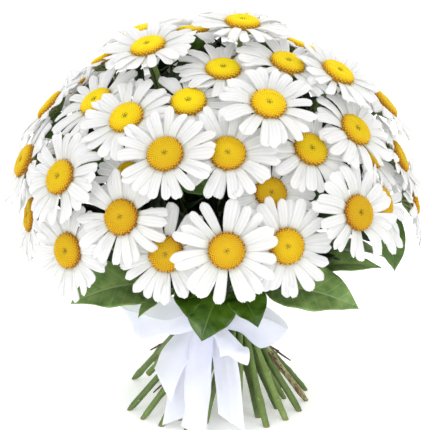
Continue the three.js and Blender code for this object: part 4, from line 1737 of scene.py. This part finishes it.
    def inner_form(self, name: str, width: float, droop: float) -> Object:
        """Makes a small leaf to copy, lying along X with its face up.

        Args:
            name: Its name.
            width: Its width, as a share of its length.
            droop: How far its tip hangs, as a share of its length.

        Returns:
            The shape.
        """
        along, half = np.array(self.inner_outline).T[..., None]
        across = np.array([-1.0, 0.0, 1.0])[None]
        y = half * width * across
        # its halves fold up, and it rises before it droops
        z = 0.16 * np.abs(y) - droop * along**2 + 0.12 * along
        points = np.stack([along + 0 * across, y, z], axis=-1) * self.inner_length
        surface = Surface().add(points, along=along, across=across, off_midrib=np.abs(y))
        return template(surface.mesh(name, self.inner_wall))

    def build_inner(self, routes: list[Array]) -> None:
        """Makes the small leaves that grow on the stems under the heads, with a near-black finish of painted
        shade.

        Args:
            routes: The stems' routes.
        """
        random = np.random.default_rng(41)
        planting = Planting()
        low, high = self.inner_leans
        for path in routes:
            for share in np.linspace(*self.inner_span, self.inner_per_stem):
                at = int((len(path) - 1) * min(share + random.uniform(*self.inner_shifts), self.inner_end))
                forward = Vector(along_path(path)[at])
                spun = Matrix.Rotation(random.uniform(*ANY_TURN), 3, "X")
                lean = random.uniform(*(low if share < self.inner_turn else high))
                turned = forward.to_track_quat("X", "Z").to_matrix() @ spun @ Matrix.Rotation(-lean, 3, "Y")
                size = random.uniform(*self.inner_scales) * float(np.interp(share, *zip(*self.inner_sizes)))
                tip = path[at] + np.array(turned.col[0]) * size * self.inner_length
                out = math.hypot(np.hypot(*tip[:2]) / DOME.radius, (tip[2] - DOME.height) / DOME.rise)
                if out <= self.inner_reach and tip[2] >= self.inner_floor:
                    planting.add(path[at], turned.to_euler("XYZ"), size)
        forms = [self.inner_form(*kind) for kind in self.inner_kinds]
        mesh = planting.plant(forms, self.inner_shade_finish, 12, 0.2)
        keep_piece("inner_leaves", mesh, Slot.LEAF, [], self.inner_shade_finish)


# ---- ribbon ----


@dataclass(frozen=True)
class Station:
    """A station of a ribbon strip in millimetres: its centre, the way its width lies, and the width."""

    x: float
    y: float
    z: float
    across: Triple
    width: float


UPRIGHT = (0.1, 0, 1)
FALLING = (0.35, -0.2, 0.9)
SLOPING = (0.65, -0.2, 0.7)
DROPPING = (0.75, 0, -0.62)
LEVEL = (1, 0, 0)

# how far the slanted cut of a strip's end leans, to which side its edges curl, and its stations
STRIPS = {
    "left_loop": (0, 1, (
        Station(-3, -31.5, 78, UPRIGHT, 11), Station(-22, -30, 80, (0, 0.1, 1), 20),
        Station(-46, -32, 81, (-0.1, 0.2, 1), 25), Station(-60, -39, 82, (-0.35, 0.2, 1), 25),
        Station(-64, -48, 81.5, (-0.43, 0, 0.9), 25), Station(-56, -57, 80, (-0.3, -0.35, 0.85), 25),
        Station(-38, -58, 79.5, (0, -0.6, 0.8), 24), Station(-21, -48, 79, (0.1, -0.3, 0.95), 17),
        Station(-4, -37.5, 79, UPRIGHT, 9),
    )),
    "dropping_loop": (0, 1, (
        Station(-7, -33.5, 74, LEVEL, 12), Station(4, -42, 66, (0.9, 0, -0.4), 19),
        Station(11, -57, 58, DROPPING, 22), Station(14, -66, 57.5, DROPPING, 22),
        Station(13.5, -68, 64, DROPPING, 22), Station(7, -58, 73, (0.85, 0, -0.45), 19),
        Station(-8, -40, 79, LEVEL, 10),
    )),
    "right_loop": (0, 1, (
        Station(-9, -30, 80, FALLING, 12), Station(12, -34, 82, FALLING, 21),
        Station(29, -37, 79, SLOPING, 24), Station(43, -43, 70, SLOPING, 24),
        Station(46, -50, 66, SLOPING, 23), Station(38, -54, 71, SLOPING, 24),
        Station(18, -49, 79, FALLING, 19), Station(-7, -35.5, 77, FALLING, 10),
    )),
    "left_tail": (10, -1, (
        Station(-7, -33, 74, (1, 0.1, 0.2), 11), Station(-20, -38, 64, (1, -0.25, 0.3), 20),
        Station(-31, -48, 50, (1, -0.4, 0.3), 25), Station(-39, -58, 33, (1, -0.5, 0.2), 25),
    )),
    "middle_tail": (4, -1, (
        Station(-5, -38.5, 75, (1, 0.1, 0), 11), Station(-11, -49, 60, (1, -0.2, 0), 19),
        Station(-13, -62, 42, (1, -0.4, 0), 20), Station(-14, -73, 22, (1, -0.5, 0), 20),
        Station(-16, -81, 5, (1, -0.35, 0), 21),
    )),
    "under_tail": (-7, 1, (
        Station(-6, -33, 72, (1, 0.1, 0), 10), Station(-13, -40, 56, (1, 0.1, 0.1), 19),
        Station(-20, -50, 36, (1, 0.1, 0.2), 24), Station(-26, -66, 9, (1, 0.1, 0.3), 24),
    )),
    "right_tail": (7, 1, (
        Station(-5, -31.5, 73, (1, 0.1, 0), 11), Station(4, -39, 60, (1, 0.15, 0.1), 17),
        Station(9, -57, 38, (1, 0.25, 0.1), 18), Station(12, -79, 12, (1, 0.2, 0.2), 18),
    )),
}


@dataclass
class Ribbon:
    """The white satin ribbon: a band round the waist, and a bow of three loops, three tails and a short end.

    Attributes:
        width: The ribbon's own width.
        wall: Its thickness.
        columns: How many points lie across it.
        pleats: How many folds it gathers into where it enters the knot, and how deep they are.
        swell: Height and length of its broad waves.
        ripple: Height and length of its fine ones, and how far from the knot they are in full.
        curl: How far its edges curl, and how much more where it is gathered, in millimetres.
        cut: Over which length its end turns into the slanted cut.
        creases: Depth, steepness, sway, count and start of the creases round a turn of ribbon.
        knot: The knot's middle, in millimetres.
        knot_rows: Heights over the knot's middle with their radii, in millimetres.
        knot_depth: How much shallower the knot is than wide.
        in_knot: Length of ribbon that the knot takes up.
        band_rows: Heights over the tie with the band's radii, in millimetres.
        band_radius: The band's radius at its middle line.
        length: The length of all strips of the bow, once they are made.
    """

    finish: Material
    width: float = 25 * MM
    wall: float = 0.4 * MM
    columns: int = 19
    pleats: Pair = (2.5, 2.2 * MM)
    swell: Pair = (1.2 * MM, 52 * MM)
    ripple: Triple = (0.7 * MM, 31 * MM, 30 * MM)
    curl: Pair = (1.0, 9)
    cut: float = 24 * MM
    creases: tuple[Row, ...] = ((0.28, 1.5, 1.3, 2, 0), (0.2, 0.7, 2, 3, 1))
    knot: Triple = (-7.6, -35.7, 76.3)
    knot_rows: Pairs = ((-12, 4.5), (-10.5, 6.6), (-6, 9.2), (0, 9.6), (5, 9.3), (9, 7.4), (11, 4.8))
    knot_depth: float = 0.74
    in_knot: float = 90 * MM
    band_rows: Pairs = (
        (-12.3, 27.6), (-11, 27.4), (-7, 25.9), (-2.5, 24.4),
        (2.5, 24.4), (7, 25.9), (11, 27.4), (12.3, 27.6),
    )
    band_radius: float = 26
    length: float = 0.0

    def strip(self, surface: Surface, name: str, seed: int) -> None:
        """Adds a strip, pleated where it narrows, and adds its length to the ribbon's.

        Args:
            surface: The mesh that gets it.
            name: The strip's name.
            seed: What its waves are drawn with.
        """
        slant, side, stations = STRIPS[name]
        random = np.random.default_rng(seed)
        rows = through(np.array([(s.x, s.y, s.z, *s.across, s.width) for s in stations]), 12)
        path, across, width = rows[:, :3] * MM, rows[:, 3:6], rows[:, 6:] * MM
        forward = along_path(path)
        across = unit(across - forward * np.sum(across * forward, axis=1, keepdims=True))
        outward = np.cross(forward, across)
        reach = travelled(path)[:, None]
        self.length += float(reach[-1, 0])
        v = np.linspace(-1, 1, self.columns)[None]
        spare = self.width / width - 1
        gather = np.clip(spare - 0.2, 0, 1.2)
        count, deep = self.pleats
        depth = deep * gather * np.sin(math.pi * count * v + random.uniform(*ANY_PHASE))
        high, long = self.swell
        swell = high * v * np.sin(TURN * reach / long + random.uniform(*ANY_PHASE))
        high, long, start = self.ripple
        ripple = high * np.sin(TURN * (reach / long + 0.3 * v) + random.uniform(*ANY_PHASE))
        depth = depth + ripple * np.clip(reach / start, 0, 1)
        edge, more = self.curl
        curl = (edge + more * np.clip(spare, 0, 0.25)) * MM * (v**2 - 0.5) * side
        shift = slant * MM * v * np.clip((reach - reach[-1] + self.cut) / self.cut, 0, 1)
        points = (
            path[:, None] + across[:, None] * (v * width / 2)[..., None]
            + outward[:, None] * (depth + swell + curl)[..., None] + forward[:, None] * shift[..., None]
        )
        surface.add(points, across=v, along=reach)

    def wrap(self, name: str, rows: Pairs, centre: Triple, sides: int, flat: float = 1.0) -> Mesh:
        """Makes a closed turn of ribbon from heights and radii, with fine creases round it.

        Args:
            name: The mesh's name.
            rows: Heights and radii in millimetres.
            centre: Its middle in millimetres.
            sides: How many points lie round it.
            flat: How much shallower it is than wide.

        Returns:
            The mesh, open at its top and bottom but for the ribbon's thickness.
        """
        smooth = through(np.array(rows), 5)
        turn = circle(sides)
        height, radius = smooth[:, :1], smooth[:, 1:]
        out = radius + sum(
            depth * np.sin(height * steep + sway * np.sin(turn * count + start))
            for depth, steep, sway, count, start in self.creases
        )
        points = np.stack([out * np.sin(turn), -out * flat * np.cos(turn), height + 0 * turn], axis=-1)
        share = (height - smooth[0, 0]) / (smooth[-1, 0] - smooth[0, 0]) * 2 - 1
        surface = Surface().add((points + np.array(centre)) * MM, wrap=True, across=share, along=turn)
        return surface.mesh(name, self.wall)

    def build(self) -> None:
        keep = partial(keep_piece, slot=Slot.RIBBON, finish=self.finish)
        mesh = self.wrap("band", self.band_rows, (0, 0, TIE_HEIGHT), 96)
        band = keep("satin_band", mesh, nodes=["ribbon_band"])
        mesh = self.wrap("knot", self.knot_rows, self.knot, 48, self.knot_depth)
        knot = keep("satin_knot", mesh, nodes=["ribbon_bow"])
        surface = Surface()
        for number, name in enumerate(STRIPS):
            self.strip(surface, name, number + 3)
        bow = keep("satin_bow", surface.mesh("bow", self.wall), nodes=["ribbon_bow"])


@dataclass
class Twine:
    """The twine that binds the stems under the ribbon.

    Attributes:
        radius: The radius that it winds round.
        thickness: Its own radius.
        turns: How often it goes round.
        pitch: How far apart its turns are, over its own radius.
        steps: How many points a turn has.
    """

    finish: Material
    radius: float = 21.8 * MM
    thickness: float = 0.75 * MM
    turns: int = 6
    pitch: float = 2.1
    steps: int = 40

    def build(self) -> None:
        """Winds the twine round the waist of the stems."""
        count = self.steps * self.turns
        number = np.arange(count)
        turn = number * TURN / self.steps
        level = TIE_HEIGHT * MM + (number / count - 0.5) * self.turns * self.pitch * self.thickness
        places = np.stack([self.radius * np.cos(turn), self.radius * np.sin(turn), level], axis=1)
        edges = [(i, i + 1) for i in range(count - 1)]
        points = points_mesh(places, edges, thickness=np.full(count, self.thickness))
        values = {"Sides": 9, "Ridges": 3.0, "Ridge depth": 0.14, "Finish": self.finish}
        keep_piece("twine", grow(points, stalk_tree(), values), Slot.STEM, ["stems"], self.finish)


# ---- studio ----


@dataclass(frozen=True)
class Studio:
    """The camera at the photograph's angle, soft lights and a pale floor.

    Attributes:
        distance: From the camera to what it looks at.
        elevation: Degrees that the camera looks down.
        aim_height: The height that it looks at.
        picture_width: How much of the object plane the picture takes in.
        sensor: Width of the camera's sensor, in its own millimetres.
        lamps: Each soft lamp's place, size and power.
        lamp_aim: What they point at.
        spot: Place, cone in degrees and power of the spot on the stems' feet.
        spot_aim: What it points at.
        spot_size: The radius of its light.
        sky: Strength of the light from all round.
        floor_reach: How far the floor goes on from the middle.
        floor_level: Its height, just clear of the stems.
    """

    floor: Material
    distance: float = 1.4
    elevation: float = 18.0
    aim_height: float = 0.146
    picture_width: float = 0.3225
    sensor: float = 36.0
    lamps: tuple[tuple[Triple, float, float], ...] = (
        ((-0.9, -1.2, 1.9), 0.8, 8.8), ((1.3, -0.9, 1.0), 1.2, 4.0), ((0.2, 1.4, 1.6), 1.2, 6.0),
        ((-0.25, -1.5, 0.28), 1.0, 1.0),
    )
    lamp_aim: Triple = (0, 0, 0.15)
    spot: tuple[Triple, float, float] = ((-0.35, -1.25, 0.12), 15.0, 30.0)
    spot_aim: Triple = (0, -0.05, 0.012)
    spot_size: float = 0.12
    sky: float = 1.12
    floor_reach: float = 6
    floor_level: float = -0.2 * MM

    def camera(self) -> None:
        """Makes the camera."""
        data = bpy.data.cameras.new("camera")
        data.sensor_width = self.sensor
        data.lens = self.sensor * self.distance / self.picture_width
        camera = show("camera", data)
        tilt = math.radians(self.elevation)
        back, up = self.distance * math.cos(tilt), self.distance * math.sin(tilt)
        camera.location = (0, -back, self.aim_height + up)
        camera.rotation_euler = (math.pi / 2 - tilt, 0, 0)
        bpy.context.scene.camera = camera

    def lamp(self, name: str, kind: str, place: Triple, aim: Triple, **settings: float) -> None:
        """Makes a lamp.

        Args:
            name: Its name.
            kind: Its type.
            place: Where it stands.
            aim: What it points at.
            settings: Its power and size.
        """
        lamp = bpy.data.lights.new(name, kind)
        for key, value in settings.items():
            setattr(lamp, key, value)
        holder = show(name, lamp)
        holder.location = place
        holder.rotation_euler = (Vector(aim) - Vector(place)).to_track_quat("-Z", "Y").to_euler()

    def light(self) -> None:
        """Makes the lamps, the soft light from all round and the floor."""
        for number, (place, size, power) in enumerate(self.lamps):
            self.lamp(f"lamp_{number}", "AREA", place, self.lamp_aim, energy=power, size=size)
        place, cone, power = self.spot
        self.lamp(
            "low_spot", "SPOT", place, self.spot_aim,
            energy=power, spot_size=math.radians(cone), spot_blend=1.0, shadow_soft_size=self.spot_size,
        )
        world = bpy.data.worlds.new("studio")
        world.use_nodes = True
        background = world.node_tree.nodes["Background"].inputs
        background["Color"].default_value = linear("#FFFFFF")
        background["Strength"].default_value = self.sky
        bpy.context.scene.world = world
        bpy.context.scene.view_settings.view_transform = "Standard"
        across, along = np.meshgrid(*[np.linspace(-self.floor_reach, self.floor_reach, 5)] * 2)
        points = np.stack([across, along, np.full(across.shape, self.floor_level)], axis=-1)
        mesh = Surface().add(points).mesh("floor")
        mesh.materials.append(self.floor)
        show("floor", mesh)


def main() -> None:
    """Builds the bunch, from the stage to the ribbon."""
    logging.basicConfig(level=logging.INFO, format="%(name)s: %(message)s")
    # smooth pale card with a little light of its own: a floor on which shadows stay faint
    card = Fibre("lit_card", 0.9, grain=40 * MM, glow=0.26, dark="#FAFAFA", light="#FCFCFC").make()
    studio = Studio(card)
    studio.camera()
    studio.light()
    # thin white tissue full of air: matt and a little lit through, partly by light spreading inside it and
    # partly by a painted glow; its furrows and edges carry painted grey shade
    petal = PetalTissue("petal_tissue", 0.6, ior=1.4, sheen=0.05, glow=0.16).make()
    # pollen on waxy florets: dry gold without a glint
    pollen = DiscPollen("disc_pollen", 0.7, grain=1.2 * MM).make()
    # waxy ridged skin: a broad soft streak of light along each stem
    stem = StemSkin("stem_skin", 0.5, grain=7 * MM).make()
    # thick waxy leaves: deep green with soft clear highlights; the leaves beside the front get a paler copy,
    # painted light for where they lie in full light
    leaf = LeafSkin("leaf_skin", 0.38, grain=9 * MM).make()
    painted_lit_leaf = LeafSkin(
        "sunlit_leaf_skin", 0.45, grain=9 * MM, dark="#608342", light="#92AE64", vein="#B6CA92",
    ).make()
    # the leaves deep between the heads: real leaves, given a near-black green as painted shade for the
    # darkness there
    inner = LeafSkin(
        "inner_leaf_skin", 0.6, grain=9 * MM, dark="#0C1D07", light="#183310", vein="#23401A",
    ).make()
    # long floating threads: broad soft highlights that follow the folds; its glow is a painted glow, in place
    # of more light coming through the thin ribbon
    satin = Satin("satin", 0.34, sheen=0.25, grain=30 * MM, glow=0.16).make()
    # rough fibres: brown without any shine
    jute = Fibre("jute", 0.85, grain=1.5 * MM).make()
    bark = Fibre("dry_bark", 0.8, grain=2 * MM, dark="#3E2A20", light="#7A5640").make()

    heads = all_heads()
    nodes = [f"bloom_{number:02d}" for number in range(1, len(heads) + 1)]
    Petals(petal).build(heads, nodes)
    Discs(pollen).build(heads, nodes)
    Cups(stem).build(heads, nodes)
    stems = Stems(stem, bark)
    stems.build(heads)
    Twine(jute).build()
    leaves = Leaves(leaf, painted_lit_leaf, inner)
    leaves.build_collar()
    leaves.build_inner(stems.routes)
    leaves.build_gap_leaves(stems.routes)
    Ribbon(satin).build()

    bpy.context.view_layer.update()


if __name__ == "__main__":
    main()
